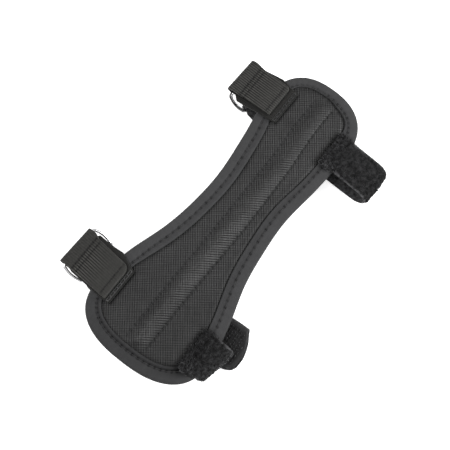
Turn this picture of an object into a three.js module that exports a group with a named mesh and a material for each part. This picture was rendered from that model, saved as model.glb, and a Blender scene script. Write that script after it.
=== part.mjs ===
// Forearm guard for archery, lying front up with its two straps fastened beneath it.
// Millimetres. +X points to the narrow wrist end, +Y to the ring side, +Z up from the surface it lies on.
import * as THREE from 'three';

// Panel outline: a rounded end at each tip and a waisted side between them
const WIDE_END = { centreX: -62.5, reach: 24.7, half: 35.6, power: 2.3 };
const NARROW_END = { centreX: 68.0, reach: 22.8, half: 26.1, power: 2.5 };
// One row for each station: half width of the panel, and how far its middle lies towards +Y
const SIDE_ROWS = [
  { x: -62.5, half: 35.6, middle: 0.8 },
  { x: -42.7, half: 32.9, middle: 0.7 },
  { x: -18.5, half: 25.4, middle: 0.3 },
  { x: 0.0, half: 22.2, middle: 0.0 },
  { x: 19.6, half: 21.3, middle: -0.1 },
  { x: 44.0, half: 23.8, middle: 0.0 },
  { x: 68.0, half: 26.1, middle: 0.7 },
];

// Arch across the guard, and the thickness of the padded panel
const ARCH_RADIUS = 80;
const CROWN_Z = 17.3;
const PANEL_HALF_THICK = 1.7;
const PANEL_EDGE_HALF_THICK = 1.0;
const PANEL_INSET = 1.6;
const PUFF_START = 1.5;
const PUFF_RUN = 3.5;

// Raised rib along the panel, a little to the strap side of its middle and narrower at the wrist
const RIB_HALF_WIDE = 6.1;
const RIB_HALF_NARROW = 5.3;
const RIB_SHIFT_WIDE = -1.5;
const RIB_SHIFT_NARROW = -1.0;
const RIB_NARROWS_FROM_X = 5;
const RIB_NARROWS_TO_X = 75;
const RIB_FULL_SHIFT_HALF = 20;
const RIB_RISE = 2.2;
const RIB_GROOVE = 0.4;
const RIB_FROM_X = -77.0;
const RIB_TO_X = 83.0;
const RIB_FADE = 6.0;
const RIB_GROOVE_WIDTH = 0.8;
// Columns of the panel over the rib, as shares of their reach, which shrinks where the panel is narrow
const RIB_COLUMNS = [0, 0.3, 0.56, 0.75, 0.85, 1];
const RIB_COLUMN_REACH = 7.4;
const RIB_REACH_SHARE = 0.36;
const LEAST_PUFF_SHARE = 0.12;
const LEAST_PRESS_SHARE = 0.25;

// Edge tape: folded round the edge of the panel, narrower round the wrist end
const TAPE_WIDTH = 8.6;
const TAPE_THICK = 1.0;
const TAPE_END_LOSS = 2.9;
const TAPE_LOSS_FROM_X = 70;
const TAPE_LOSS_TO_X = 88;
const TAPE_ROUND = 1.3;
const TAPE_LIP = 0.7;

// Clear space between pieces
const GAP = 0.3;

// Straps, webbing and ring wire
const STRAP_THICK = 1.5;
const WEBBING_THICK = 1.3;
const WIRE_RADIUS = 0.9;
const RING_SPACING = 12.8;
const RING_CORNER = 1.7;
const RING_BULGE = 0.7;
const RING_SIDES = 8;
const PATCH_THICK = 1.6;
const BAND_CHAMFER = 0.35;

// Heights of what lies under the guard, from the surface up
const TAIL_Z = STRAP_THICK / 2;
const FAR_BAR_Z = STRAP_THICK + GAP + WIRE_RADIUS;
const STRAND_Z = FAR_BAR_Z + WIRE_RADIUS + GAP + STRAP_THICK / 2;
const PATCH_Z = STRAP_THICK + GAP + PATCH_THICK / 2;
const TAPE_HALF_THICK = PANEL_EDGE_HALF_THICK + GAP + TAPE_THICK;
const REST_LIFT = TAPE_HALF_THICK + GAP;
const WRAP_RADIUS = WIRE_RADIUS + GAP + STRAP_THICK / 2;
const FOLD_RADIUS = WIRE_RADIUS + GAP + WEBBING_THICK / 2;
const LEAF_OFFSET = (WEBBING_THICK + GAP) / 2;

// Ring side: the tab's folded end, its bar in the fold, and where its leaves end on the panel
const WIDE_TAB = {
  barY: 54.5, barZ: 8.6, ringX: -55.4, ringHalf: 12.0,
  liftY: 30, rowY: 49.2, lowerEndY: 22.7, upperEndY: 25.2,
  endX: -57.6, endWidth: 20.9, foldX: -55.4, foldWidth: 21.6,
};
const NARROW_TAB = {
  barY: 43.3, barZ: 11.3, ringX: 69.0, ringHalf: 11.35,
  liftY: 26, rowY: 38.6, lowerEndY: 14.5, upperEndY: 19.0,
  endX: 67.4, endWidth: 19.6, foldX: 69.0, foldWidth: 20.2,
};

const smooth = (from, to, value) => THREE.MathUtils.smoothstep(value, from, to);
const radians = (degrees) => THREE.MathUtils.degToRad(degrees);
const blend = (a, b, share) => a + (b - a) * share;

// Smooth curve through one column of a table, level at both ends
function columnAt(rows, column, x) {
  const last = rows.length - 1;
  const found = rows.findIndex((row) => row.x > x);
  const index = Math.max(0, (found < 0 ? last : found) - 1);
  const slope = (at) => {
    if (at === 0 || at === last) return 0;
    return (rows[at + 1][column] - rows[at - 1][column]) / (rows[at + 1].x - rows[at - 1].x);
  };
  const run = rows[index + 1].x - rows[index].x;
  const t = THREE.MathUtils.clamp((x - rows[index].x) / run, 0, 1);
  const near = (1 + 2 * t) * (1 - t) ** 2 * rows[index][column];
  const far = t * t * (3 - 2 * t) * rows[index + 1][column];
  const lean = t * (1 - t) ** 2 * slope(index) - t * t * (1 - t) * slope(index + 1);
  return near + far + lean * run;
}

// Height of the middle of the panel's thickness
const archZ = (y) => CROWN_Z - (ARCH_RADIUS - Math.sqrt(ARCH_RADIUS ** 2 - y * y));

const tapeWidthAt = (x) => TAPE_WIDTH - TAPE_END_LOSS * smooth(TAPE_LOSS_FROM_X, TAPE_LOSS_TO_X, x);

// Stations along the guard from the wide tip to the narrow tip, for the outline set in by some distance
function outlineStations(inset, tipAngle, sideCount) {
  const turns = [tipAngle, 10, 19, 29, 40, 52, 65, 78];
  const endStation = (end, side, degrees) => {
    const along = Math.cos(radians(degrees)) ** (2 / end.power);
    const across = Math.sin(radians(degrees)) ** (2 / end.power);
    const x = end.centreX + side * (end.reach - inset) * along;
    return { x, half: (end.half - inset) * across, middle: columnAt(SIDE_ROWS, 'middle', x) };
  };
  const wide = turns.map((degrees) => endStation(WIDE_END, -1, degrees));
  const narrow = turns.map((degrees) => endStation(NARROW_END, 1, degrees)).reverse();
  const side = [];
  for (let i = 0; i <= sideCount; i += 1) {
    const x = blend(WIDE_END.centreX, NARROW_END.centreX, i / sideCount);
    const half = columnAt(SIDE_ROWS, 'half', x) - inset;
    side.push({ x, half, middle: columnAt(SIDE_ROWS, 'middle', x) });
  }
  return [...wide, ...side, ...narrow];
}

// Closed outline loop, up the ring side and back down the strap side
function outlineLoop(sideCount) {
  const stations = outlineStations(0, 0, sideCount);
  const ringSide = stations.map((s) => new THREE.Vector2(s.x, s.middle + s.half));
  const strapSide = stations.slice(1, -1).reverse().map((s) => new THREE.Vector2(s.x, s.middle - s.half));
  return [...ringSide, ...strapSide];
}

const EDGE_LOOP = outlineLoop(24);
const FINE_LOOP = outlineLoop(60);

// Distance from a point of the panel to its outline
function edgeDistance(x, y) {
  let least = Infinity;
  const point = new THREE.Vector3(x, y, 0);
  const nearest = new THREE.Vector3();
  FINE_LOOP.forEach((from, i) => {
    const to = FINE_LOOP[(i + 1) % FINE_LOOP.length];
    const line = new THREE.Line3(new THREE.Vector3(from.x, from.y, 0), new THREE.Vector3(to.x, to.y, 0));
    line.closestPointToPoint(point, true, nearest);
    least = Math.min(least, nearest.distanceTo(point));
  });
  return least;
}

// Skin over closed section loops of equal count. Open ends are capped between mirrored points.
function skin(sections, isRing) {
  const count = sections[0].length;
  const rings = sections.length;
  const points = sections.flat();
  const faces = [];
  const spans = isRing ? rings : rings - 1;
  for (let i = 0; i < spans; i += 1) {
    const here = i * count;
    const next = ((i + 1) % rings) * count;
    for (let k = 0; k < count; k += 1) {
      const k2 = (k + 1) % count;
      faces.push([here + k, next + k, next + k2], [here + k, next + k2, here + k2]);
    }
  }
  if (!isRing) {
    const cap = (start, flip) => {
      for (let k = 0; k < count / 2 - 1; k += 1) {
        const quad = [k, k + 1, count - 2 - k, count - 1 - k].map((at) => start + at);
        if (flip) quad.reverse();
        faces.push([quad[0], quad[1], quad[2]], [quad[0], quad[2], quad[3]]);
      }
    };
    cap(0, false);
    cap((rings - 1) * count, true);
  }
  let volume = 0;
  faces.forEach(([a, b, c]) => {
    volume += points[a].dot(points[b].clone().cross(points[c])) / 6;
  });
  if (volume < 0) faces.forEach((face) => face.reverse());
  const geometry = new THREE.BufferGeometry().setFromPoints(points);
  geometry.setIndex(faces.flat());
  geometry.computeVertexNormals();
  return geometry;
}

// Padded panel: puffed inside the tape, pressed thin under it, with the rib between two grooves
function panelGeometry() {
  const ribNarrows = (x) => smooth(RIB_NARROWS_FROM_X, RIB_NARROWS_TO_X, x);
  const ribShift = (x) => blend(RIB_SHIFT_WIDE, RIB_SHIFT_NARROW, ribNarrows(x));
  const ribRise = (x, y) => {
    const away = Math.abs(y - ribShift(x));
    const ribHalf = blend(RIB_HALF_WIDE, RIB_HALF_NARROW, ribNarrows(x));
    const dome = Math.max(0, 1 - (away / ribHalf) ** 2) ** 0.7;
    const groove = Math.exp(-(((away - ribHalf) / RIB_GROOVE_WIDTH) ** 2));
    const start = smooth(RIB_FROM_X, RIB_FROM_X + RIB_FADE, x);
    const stop = smooth(RIB_TO_X - RIB_FADE, RIB_TO_X, x);
    return start * (1 - stop) * (RIB_RISE * dome - RIB_GROOVE * groove);
  };
  const halfThick = (x, y) => {
    const inside = edgeDistance(x, y) - tapeWidthAt(x) - PUFF_START;
    return blend(PANEL_EDGE_HALF_THICK, PANEL_HALF_THICK, smooth(0, PUFF_RUN, inside));
  };
  const columnsAt = ({ x, half }) => {
    const ribReach = Math.min(RIB_COLUMN_REACH, RIB_REACH_SHARE * half);
    const shift = ribShift(x) * Math.min(1, half / RIB_FULL_SHIFT_HALF);
    const tapeEnd = half + PANEL_INSET - tapeWidthAt(x);
    const columnsOn = (side) => {
      const ribColumns = RIB_COLUMNS.map((share) => share * ribReach + side * shift);
      const ribEnd = ribReach + side * shift;
      const puffed = Math.max(tapeEnd - PUFF_START - PUFF_RUN, blend(ribEnd, half, LEAST_PUFF_SHARE));
      const pressed = Math.max(tapeEnd - PUFF_START, blend(puffed, half, LEAST_PRESS_SHARE));
      const outer = [blend(ribEnd, puffed, 0.5), puffed, blend(puffed, pressed, 0.5), pressed, half];
      return [...ribColumns, ...outer].map((away) => side * away);
    };
    return [...columnsOn(-1).slice(1).reverse(), ...columnsOn(1)];
  };
  const sections = outlineStations(PANEL_INSET, 4, 24).map((station) => {
    const { x, middle } = station;
    const columns = columnsAt(station);
    const top = columns.map((y) => {
      const z = archZ(middle + y) + halfThick(x, middle + y) + ribRise(x, y);
      return new THREE.Vector3(x, middle + y, z);
    });
    const bottom = columns.map((y) => {
      return new THREE.Vector3(x, middle + y, archZ(middle + y) - halfThick(x, middle + y));
    });
    return [...top, ...bottom.reverse()];
  });
  return skin(sections, false);
}

// Edge tape: a U-shaped band round the whole outline, its open side towards the middle
function tapeGeometry() {
  const inner = PANEL_EDGE_HALF_THICK + GAP;
  const outer = TAPE_HALF_THICK;
  const wall = PANEL_INSET - GAP;
  const profile = (width) => {
    const lip = [
      { inset: width, lift: inner }, { inset: width, lift: outer * 0.9 },
      { inset: width - TAPE_LIP, lift: outer },
    ];
    const over = [
      { inset: width / 2, lift: outer }, { inset: TAPE_ROUND, lift: outer * 0.95 },
      { inset: TAPE_ROUND / 4, lift: outer * 0.62 },
    ];
    const under = over.slice().reverse().map(({ inset, lift }) => ({ inset, lift: -lift }));
    const inside = [
      { inset: width, lift: -outer }, { inset: width, lift: -inner }, { inset: width / 2, lift: -inner },
      { inset: wall, lift: -inner }, { inset: wall, lift: inner }, { inset: width / 2, lift: inner },
    ];
    return [...lip, ...over, { inset: 0, lift: 0 }, ...under, ...inside];
  };
  const count = EDGE_LOOP.length;
  const sections = EDGE_LOOP.map((point, i) => {
    const before = EDGE_LOOP[(i + count - 1) % count];
    const after = EDGE_LOOP[(i + 1) % count];
    const along = after.clone().sub(before).normalize();
    const inward = new THREE.Vector2(along.y, -along.x);
    return profile(tapeWidthAt(point.x)).map(({ inset, lift }) => {
      const x = point.x + inward.x * inset;
      const y = point.y + inward.y * inset;
      return new THREE.Vector3(x, y, archZ(y) + lift);
    });
  });
  return skin(sections, true);
}

// Flat band along a path in Y and Z. Each row gives the middle of the band, its width and its skew.
function bandGeometry(rows, thick) {
  const edge = thick * 0.28;
  const flat = thick / 2;
  const sections = rows.map((row, i) => {
    const before = rows[Math.max(0, i - 1)];
    const after = rows[Math.min(rows.length - 1, i + 1)];
    const along = new THREE.Vector2(after.y - before.y, after.z - before.z).normalize();
    const skew = row.skew ?? 0;
    const corner = (share, inset, lift) => {
      const x = row.x + share * (row.width / 2 - inset);
      return new THREE.Vector3(x, row.y + skew * share - along.y * lift, row.z + along.x * lift);
    };
    return [
      corner(-1, 0, edge), corner(-1, BAND_CHAMFER, flat),
      corner(1, BAND_CHAMFER, flat), corner(1, 0, edge),
      corner(1, 0, -edge), corner(1, BAND_CHAMFER, -flat),
      corner(-1, BAND_CHAMFER, -flat), corner(-1, 0, -edge),
    ];
  });
  return skin(sections, false);
}

// Rows round an arc in Y and Z, with the place and width blended from one end to the other
function arcRows({ y, z, radius, from, to, steps, start, end }) {
  return Array.from({ length: steps + 1 }, (_, i) => {
    const turn = radians(blend(from, to, i / steps));
    return {
      y: y + radius * Math.cos(turn), z: z + radius * Math.sin(turn),
      x: blend(start.x, end.x, i / steps), width: blend(start.width, end.width, i / steps),
    };
  });
}

// Webbing tab: the lower leaf runs out from the panel, folds round the ring's bar and comes back on top
function tabRows(tab) {
  const liftZ = archZ(tab.liftY) + REST_LIFT + WEBBING_THICK / 2 + LEAF_OFFSET;
  const slope = (tab.barZ - liftZ) / (tab.barY - tab.liftY);
  const fall = Math.atan(slope);
  const centreZ = (y) => {
    if (y > tab.liftY) return liftZ + slope * (y - tab.liftY);
    return archZ(y) + REST_LIFT + WEBBING_THICK / 2 + LEAF_OFFSET;
  };
  const leafRow = (y, side, spread) => {
    const share = smooth(tab.lowerEndY, tab.barY, y);
    const away = side * blend(LEAF_OFFSET, FOLD_RADIUS, spread);
    return {
      y: y - away * Math.sin(fall), z: centreZ(y) + away * Math.cos(fall),
      x: blend(tab.endX, tab.foldX, share), width: blend(tab.endWidth, tab.foldWidth, share),
    };
  };
  const mid = blend(tab.liftY, tab.rowY, 0.5);
  const opening = [0.35, 0.7].map((share) => {
    return { y: blend(tab.rowY, tab.barY, share), spread: smooth(0, 1, share) };
  });
  const lower = [tab.lowerEndY, blend(tab.lowerEndY, tab.liftY, 0.5), tab.liftY, mid, tab.rowY];
  const upper = [tab.rowY, mid, tab.liftY, blend(tab.upperEndY, tab.liftY, 0.5), tab.upperEndY];
  const fold = { x: tab.foldX, width: tab.foldWidth };
  const tilt = THREE.MathUtils.radToDeg(fall);
  const turn = { y: tab.barY, z: tab.barZ, radius: FOLD_RADIUS, steps: 8, start: fold, end: fold };
  return [
    ...lower.map((y) => leafRow(y, -1, 0)),
    ...opening.map(({ y, spread }) => leafRow(y, -1, spread)),
    ...arcRows({ ...turn, from: tilt - 90, to: tilt + 90 }),
    ...opening.slice().reverse().map(({ y, spread }) => leafRow(y, 1, spread)),
    ...upper.map((y) => leafRow(y, 1, 0)),
  ];
}

// Where the ring's far bar hangs, below and inside the bar in the tab's fold
const farBarY = (tab) => tab.barY - Math.sqrt(RING_SPACING ** 2 - (tab.barZ - FAR_BAR_Z) ** 2);

// Wire ring: two straight bars, rounded corners and slightly bowed ends
function ringGeometry(tab) {
  const far = new THREE.Vector3(tab.ringX, farBarY(tab), FAR_BAR_Z);
  const near = new THREE.Vector3(tab.ringX, tab.barY, tab.barZ);
  const centre = far.clone().add(near).multiplyScalar(0.5);
  const acrossBars = near.clone().sub(far).normalize();
  const facing = new THREE.Vector3(1, 0, 0).cross(acrossBars);
  const half = RING_SPACING / 2;
  const quarter = [{ along: 0, across: half }, { along: tab.ringHalf - RING_CORNER, across: half }];
  [22.5, 45, 67.5, 90].forEach((degrees) => {
    quarter.push({
      along: tab.ringHalf - RING_CORNER + RING_CORNER * Math.sin(radians(degrees)),
      across: half - RING_CORNER + RING_CORNER * Math.cos(radians(degrees)),
    });
  });
  const straight = half - RING_CORNER;
  [0.5, 0].forEach((share) => {
    quarter.push({ along: tab.ringHalf + RING_BULGE * (1 - share * share), across: share * straight });
  });
  const mirrored = (list, alongSign, acrossSign) => list.map((p) => ({
    along: p.along * alongSign, across: p.across * acrossSign,
  }));
  const loop = [
    ...quarter,
    ...mirrored(quarter.slice(0, -1), 1, -1).reverse(),
    ...mirrored(quarter.slice(1), -1, -1),
    ...mirrored(quarter.slice(1, -1), -1, 1).reverse(),
  ];
  const sections = loop.map((p, i) => {
    const before = loop[(i + loop.length - 1) % loop.length];
    const after = loop[(i + 1) % loop.length];
    const tangent = new THREE.Vector2(after.along - before.along, after.across - before.across).normalize();
    return Array.from({ length: RING_SIDES }, (_, k) => {
      const turn = (2 * Math.PI * k) / RING_SIDES;
      const out = WIRE_RADIUS * Math.cos(turn);
      const at = centre.clone();
      at.x += p.along + tangent.y * out;
      at.addScaledVector(acrossBars, p.across - tangent.x * out);
      return at.addScaledVector(facing, WIRE_RADIUS * Math.sin(turn));
    });
  });
  return skin(sections, true);
}

// Height of a strap's middle where it lies on the guard
const strapOnGuardZ = (y) => archZ(y) + REST_LIFT + STRAP_THICK / 2;

// Strap rows: sewn end, bend, strand under the guard, turn round the ring's far bar, tail
function wideStrapRows() {
  const sewn = [-24.8, -28.0, -31.0].map((y) => ({ y, z: strapOnGuardZ(y), x: -59.7, width: 23.0 }));
  const bend = [
    { y: -34.0, z: 13.4, x: -59.5, width: 23.0, skew: -0.8 },
    { y: -36.7, z: 12.1, x: -59.4, width: 23.0, skew: -1.5 },
    { y: -38.3, z: 10.4, x: -59.3, width: 23.0, skew: -2.0 },
    { y: -38.7, z: 8.3, x: -59.2, width: 23.0, skew: -2.1 },
    { y: -38.2, z: 6.5, x: -59.1, width: 23.0, skew: -2.0 },
    { y: -36.6, z: 5.2, x: -59.0, width: 23.0, skew: -1.5 },
    { y: -34.0, z: STRAND_Z, x: -58.9, width: 23.0, skew: -0.8 },
  ];
  const strand = [
    { y: -28.0, z: STRAND_Z, x: -58.7, width: 23.0 },
    { y: 0.0, z: STRAND_Z, x: -57.6, width: 23.0 },
    { y: 28.0, z: STRAND_Z, x: -56.2, width: 22.6 },
  ];
  const atRing = { x: WIDE_TAB.ringX, width: 21.2 };
  const tail = [
    { y: 34.0, z: TAIL_Z, x: -54.4, width: 23.4 },
    { y: 0.0, z: TAIL_Z, x: -50.5, width: 24.0 },
    { y: -40.0, z: TAIL_Z, x: -45.8, width: 24.2 },
    { y: -42.6, z: TAIL_Z, x: -46.2, width: 22.0 },
    { y: -44.8, z: TAIL_Z, x: -47.6, width: 16.0 },
    { y: -46.2, z: TAIL_Z, x: -48.8, width: 8.0 },
  ];
  return [...sewn, ...bend, ...strand, ...roundFarBar(WIDE_TAB, atRing), ...tail];
}

function narrowStrapRows() {
  const sewn = [-16.5, -19.5, -22.5].map((y) => ({ y, z: strapOnGuardZ(y), x: 64.8, width: 19.2 }));
  const bendRadius = 5.5;
  const bend = arcRows({
    y: -46.4 + bendRadius, z: STRAND_Z + bendRadius, radius: bendRadius, from: 90, to: 270, steps: 12,
    start: { x: 64.5, width: 19.2 }, end: { x: 63.7, width: 19.2 },
  });
  const strand = [
    { y: -30.0, z: STRAND_Z, x: 63.6, width: 19.2 },
    { y: 8.0, z: STRAND_Z, x: 64.8, width: 19.2 },
    { y: 24.0, z: STRAND_Z, x: 66.0, width: 19.2 },
    { y: 30.0, z: STRAND_Z, x: 67.4, width: 18.8 },
  ];
  const atRing = { x: 68.2, width: 18.4 };
  const tail = [
    { y: 28.0, z: TAIL_Z, x: 67.2, width: 18.8 },
    { y: 20.0, z: TAIL_Z, x: 65.8, width: 19.2 },
    { y: -16.0, z: TAIL_Z, x: 64.2, width: 19.2 },
  ];
  return [...sewn, ...bend, ...strand, ...roundFarBar(NARROW_TAB, atRing), ...tail];
}

function roundFarBar(tab, place) {
  return arcRows({
    y: farBarY(tab), z: FAR_BAR_Z, radius: WRAP_RADIUS, from: 90, to: -90, steps: 8, start: place, end: place,
  });
}

// Hook patches lie on the tails, between them and the strands above
const WIDE_PATCH_ROWS = [
  { y: -14.0, z: PATCH_Z, x: -48.9, width: 22.6 },
  { y: -39.6, z: PATCH_Z, x: -45.9, width: 22.8 },
  { y: -42.2, z: PATCH_Z, x: -46.4, width: 20.4 },
  { y: -44.2, z: PATCH_Z, x: -47.7, width: 14.4 },
  { y: -45.4, z: PATCH_Z, x: -48.8, width: 7.0 },
];
const NARROW_PATCH_ROWS = [
  { y: 10.0, z: PATCH_Z, x: 65.3, width: 18.0 },
  { y: -15.4, z: PATCH_Z, x: 64.2, width: 18.0 },
];

const group = new THREE.Group();

function addPiece(name, geometry, color, roughness, metalness) {
  const mesh = new THREE.Mesh(geometry, new THREE.MeshStandardMaterial({ color, roughness, metalness }));
  mesh.name = name;
  group.add(mesh);
}

addPiece('panel', panelGeometry(), 0x3a3a3c, 0.85, 0);
addPiece('edge_tape', tapeGeometry(), 0x48484a, 0.7, 0);
addPiece('tab_wide', bandGeometry(tabRows(WIDE_TAB), WEBBING_THICK), 0x404042, 0.8, 0);
addPiece('tab_narrow', bandGeometry(tabRows(NARROW_TAB), WEBBING_THICK), 0x404042, 0.8, 0);
addPiece('ring_wide', ringGeometry(WIDE_TAB), 0xd8d8dc, 0.15, 1);
addPiece('ring_narrow', ringGeometry(NARROW_TAB), 0xd8d8dc, 0.15, 1);
addPiece('strap_wide', bandGeometry(wideStrapRows(), STRAP_THICK), 0x2a2a2c, 0.95, 0);
addPiece('strap_narrow', bandGeometry(narrowStrapRows(), STRAP_THICK), 0x2a2a2c, 0.95, 0);
addPiece('hook_patch_wide', bandGeometry(WIDE_PATCH_ROWS, PATCH_THICK), 0x202022, 0.9, 0);
addPiece('hook_patch_narrow', bandGeometry(NARROW_PATCH_ROWS, PATCH_THICK), 0x202022, 0.9, 0);

// The origin is the middle of the whole box, on the surface that the guard lies on
const box = new THREE.Box3().setFromObject(group);
const middle = box.getCenter(new THREE.Vector3());
group.children.forEach((mesh) => mesh.geometry.translate(-middle.x, -middle.y, -box.min.z));

export default group;
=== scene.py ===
# Forearm guard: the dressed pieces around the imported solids, a white floor, soft light and the camera.
# Lengths are millimetres in the guard's own axes until a mesh is made, then metres in the row frame.
# The guard lies along X with its wide end towards -X, its rings towards +Y and its straps towards -Y.
import math
from collections import namedtuple
from types import SimpleNamespace

import bpy
import numpy as np
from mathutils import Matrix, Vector


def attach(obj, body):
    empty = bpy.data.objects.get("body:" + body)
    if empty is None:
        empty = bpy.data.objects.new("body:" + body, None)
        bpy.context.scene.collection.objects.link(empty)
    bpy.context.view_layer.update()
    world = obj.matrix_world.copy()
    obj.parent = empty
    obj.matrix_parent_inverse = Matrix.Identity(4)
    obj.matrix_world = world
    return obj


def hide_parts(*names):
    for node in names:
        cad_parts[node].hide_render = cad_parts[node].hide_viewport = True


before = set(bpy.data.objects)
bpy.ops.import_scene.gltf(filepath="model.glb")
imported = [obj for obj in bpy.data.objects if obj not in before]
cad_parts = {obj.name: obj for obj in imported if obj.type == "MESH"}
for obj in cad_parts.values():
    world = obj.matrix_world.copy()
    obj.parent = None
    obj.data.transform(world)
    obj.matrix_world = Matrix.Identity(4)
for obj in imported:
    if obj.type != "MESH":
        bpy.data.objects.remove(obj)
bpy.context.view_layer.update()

RANDOM = np.random.default_rng(20)
MM = 0.001
TINY = 1e-9
X_AXIS = np.array([1.0, 0, 0])
Z_AXIS = np.array([0, 0, 1.0])
# Where the guard's own axes lie in the row frame
AXIS_SHIFT = np.array([-1.8, -4.9165, 0.0])

# Panel outline: a rounded end at each tip and a waisted side between them
WIDE_END = SimpleNamespace(centre_x=-62.5, reach=24.7, half=35.6, power=2.42)
NARROW_END = SimpleNamespace(centre_x=68.0, reach=22.8, half=26.1, power=2.5)
SIDE_X = np.array([WIDE_END.centre_x, -42.7, -18.5, 0.0, 19.6, 44.0, NARROW_END.centre_x])
SIDE_HALF = np.array([WIDE_END.half, 32.9, 25.5, 22.4, 21.3, 23.8, NARROW_END.half])
SIDE_MIDDLE = np.array([0.4, 0.5, 0.1, -0.2, -0.1, 0.1, 1.25])
# How far from the middle line the rings' side or the straps' side is fully reached
SIDE_RUN = 8.0

# Arch across the guard, and the padded panel
ARCH_RADIUS = 80.0
CROWN_Z = 17.3
PANEL_HALF_THICK = 1.7
PANEL_EDGE_HALF_THICK = 1.0
PANEL_TUCK_HALF_THICK = 1.2
PANEL_INSET = 1.6
PUFF_START = -0.4
PUFF_RUN = 2.4

# Raised rib, a little to the strap side of the middle and narrower at the wrist.
# A pair ending in _X is where along the guard a change starts and where it is complete.
RIB_HALF_WIDE = 6.1
RIB_HALF_NARROW = 5.3
RIB_SHIFT_WIDE = -1.5
RIB_SHIFT_NARROW = -1.0
RIB_TAPER_X = (5.0, 75.0)
RIB_RISE_WIDE = 2.4
RIB_RISE_NARROW = 1.45
RIB_FALL_X = (-45.0, 70.0)
RIB_ROUND_TOP = 0.28
RIB_GROOVE = 0.12
RIB_GROOVE_WIDTH = 0.7
RIB_GROOVE_BY_RINGS = 0.2
RIB_FROM_X = -78.5
RIB_TO_X = 84.0
RIB_FADE = 6.0
RIB_STITCH_PITCH = 3.3
# Stitch holes along the rib: their size, depth and the painted shade in them, then the painted shade in the
# rib's groove
RIB_HOLE = SimpleNamespace(across=0.65, along=0.55, depth=0.4, tone=0.7)
RIB_GROOVE_SHADE = 0.12
# Painted light on the rib's top, strong at the wide end and none at the wrist; painted shade on its
# strap-side flank towards the wrist
RIB_PAINTED_LIGHT_WIDE = 0.62
RIB_PAINTED_LIGHT_NARROW = 0.0
RIB_FLANK_SHADE = 0.2
RIB_FLANK_X = (15.0, 60.0)

# Edge tape
TAPE_WIDTH = 8.6
TAPE_THICK = 1.0
TAPE_END_LOSS = 2.9
TAPE_LOSS_X = (70.0, 88.0)
TAPE_RING_GAIN = 0.8
TAPE_GAIN_START_X = (-50.0, -30.0)
TAPE_GAIN_STOP_X = (60.0, 40.0)
TAPE_WRIST_X = (72.0, 84.0)
TAPE_STRAP_LOSS = 0.7
TAPE_STRAP_LOSS_AT_X = 45.0
TAPE_STRAP_LOSS_RUN = 18.0
TAPE_ROUND = 1.5
TAPE_STITCH_PITCH = 3.65
# Channel and holes of the tape's row of stitches, both also darkened with painted shade
TAPE_CHANNEL = SimpleNamespace(depth=0.16, width=0.9, tone=0.1)
TAPE_HOLE = SimpleNamespace(across=0.55, along=0.62, depth=0.4)
TAPE_PUCKER = 0.05
# Its row of stitches: inset from the edge, more at the wide end and along the rings, most by the wide tab
TAPE_LINE = SimpleNamespace(
    inset=5.2, margin=1.0, wide_gain=0.8, wide_x=(-55.0, -80.0),
    ring_gain=0.5, tab_gain=1.2, tab_x=-42.0, tab_run=12.0,
)
# Tone of the tape outside and inside its row of stitches and at its lip, and what is added or taken by place:
# painted light where its edge faces the rings, painted shade where it faces the straps and the wide end, by
# the wide strap and on its wall, and darker towards the wrist
TAPE_TONE = SimpleNamespace(
    least=0.1, outside=1.1, inside=0.92, inside_wide_end=0.74, wide_x=(-55.0, -78.0), lip=1.02,
    to_rings=0.16, to_straps=-0.1, to_wide_end=-0.22, strap_shade=0.45, by_wrist=0.12,
    wall=0.5, wall_to_rings=0.3,
)
TAPE_NARROW_END_X = (72.0, 86.0)

# Straps, webbing, ring wire and the heights they lie at
GAP = 0.3
STRAP_THICK = 1.5
WEBBING_THICK = 1.3
WIRE_RADIUS = 0.9
RING_SPACING = 12.8
RING_CORNER = 1.7
RING_BULGE = 0.7
PATCH_THICK = 1.6
TAIL_Z = STRAP_THICK / 2
FAR_BAR_Z = STRAP_THICK + GAP + WIRE_RADIUS
STRAND_Z = FAR_BAR_Z + WIRE_RADIUS + GAP + STRAP_THICK / 2
PATCH_Z = STRAP_THICK + GAP + PATCH_THICK / 2
TAPE_HALF_THICK = PANEL_EDGE_HALF_THICK + GAP + TAPE_THICK
REST_LIFT = TAPE_HALF_THICK + GAP
WRAP_RADIUS = WIRE_RADIUS + GAP + STRAP_THICK / 2
FOLD_RADIUS = WIRE_RADIUS + GAP + WEBBING_THICK / 2
LEAF_OFFSET = (WEBBING_THICK + GAP) / 2

# Tabs. under_left and under_right: Y, and how far the lower leaf's edge is moved out there, partly its own
# offset and partly a dark strip put where the flap casts shade.
# stitch_rows: Y, depth, and the two shares of the half width that a row of stitches runs between.
# Each tab also gives the strength of the painted dark reflection on its ring's wire
WIDE_TAB = SimpleNamespace(
    bar_y=54.5, bar_z=8.6, ring_x=-54.85, ring_half=12.55, ring_painted_reflection=0.1,
    lift_y=30.0, row_y=49.2, lower_end_y=22.7, upper_end_y=25.2, end_x=-57.6, end_width=20.9,
    fold_x=-55.4, fold_width=21.6, fold_out=0.3, fold_skew=-0.5, fold_flare=1.0,
    flap_left=0.2, flap_right=0.5, flap_corner=4.5,
    under_left=[(22.7, 0.3), (28.0, 0.7)],
    under_right=[(22.7, -0.9), (28.0, 0.9), (33.8, 3.0), (39.4, 2.1), (45.7, 1.6)],
    clear_of_bar=3.4, left_clear_of_bar=2.6, bar_notch=0.0, ladder_tone=2.2,
    fold_ribs=0.15, end_ribs=0.1, side_ribs=0.35, rib_pitch=1.3,
    stitch_rows=[(49.6, 0.5, -0.65, 0.95), (46.6, 0.42, -0.9, 0.95), (28.8, 0.3, -0.9, 0.75)],
)
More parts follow.
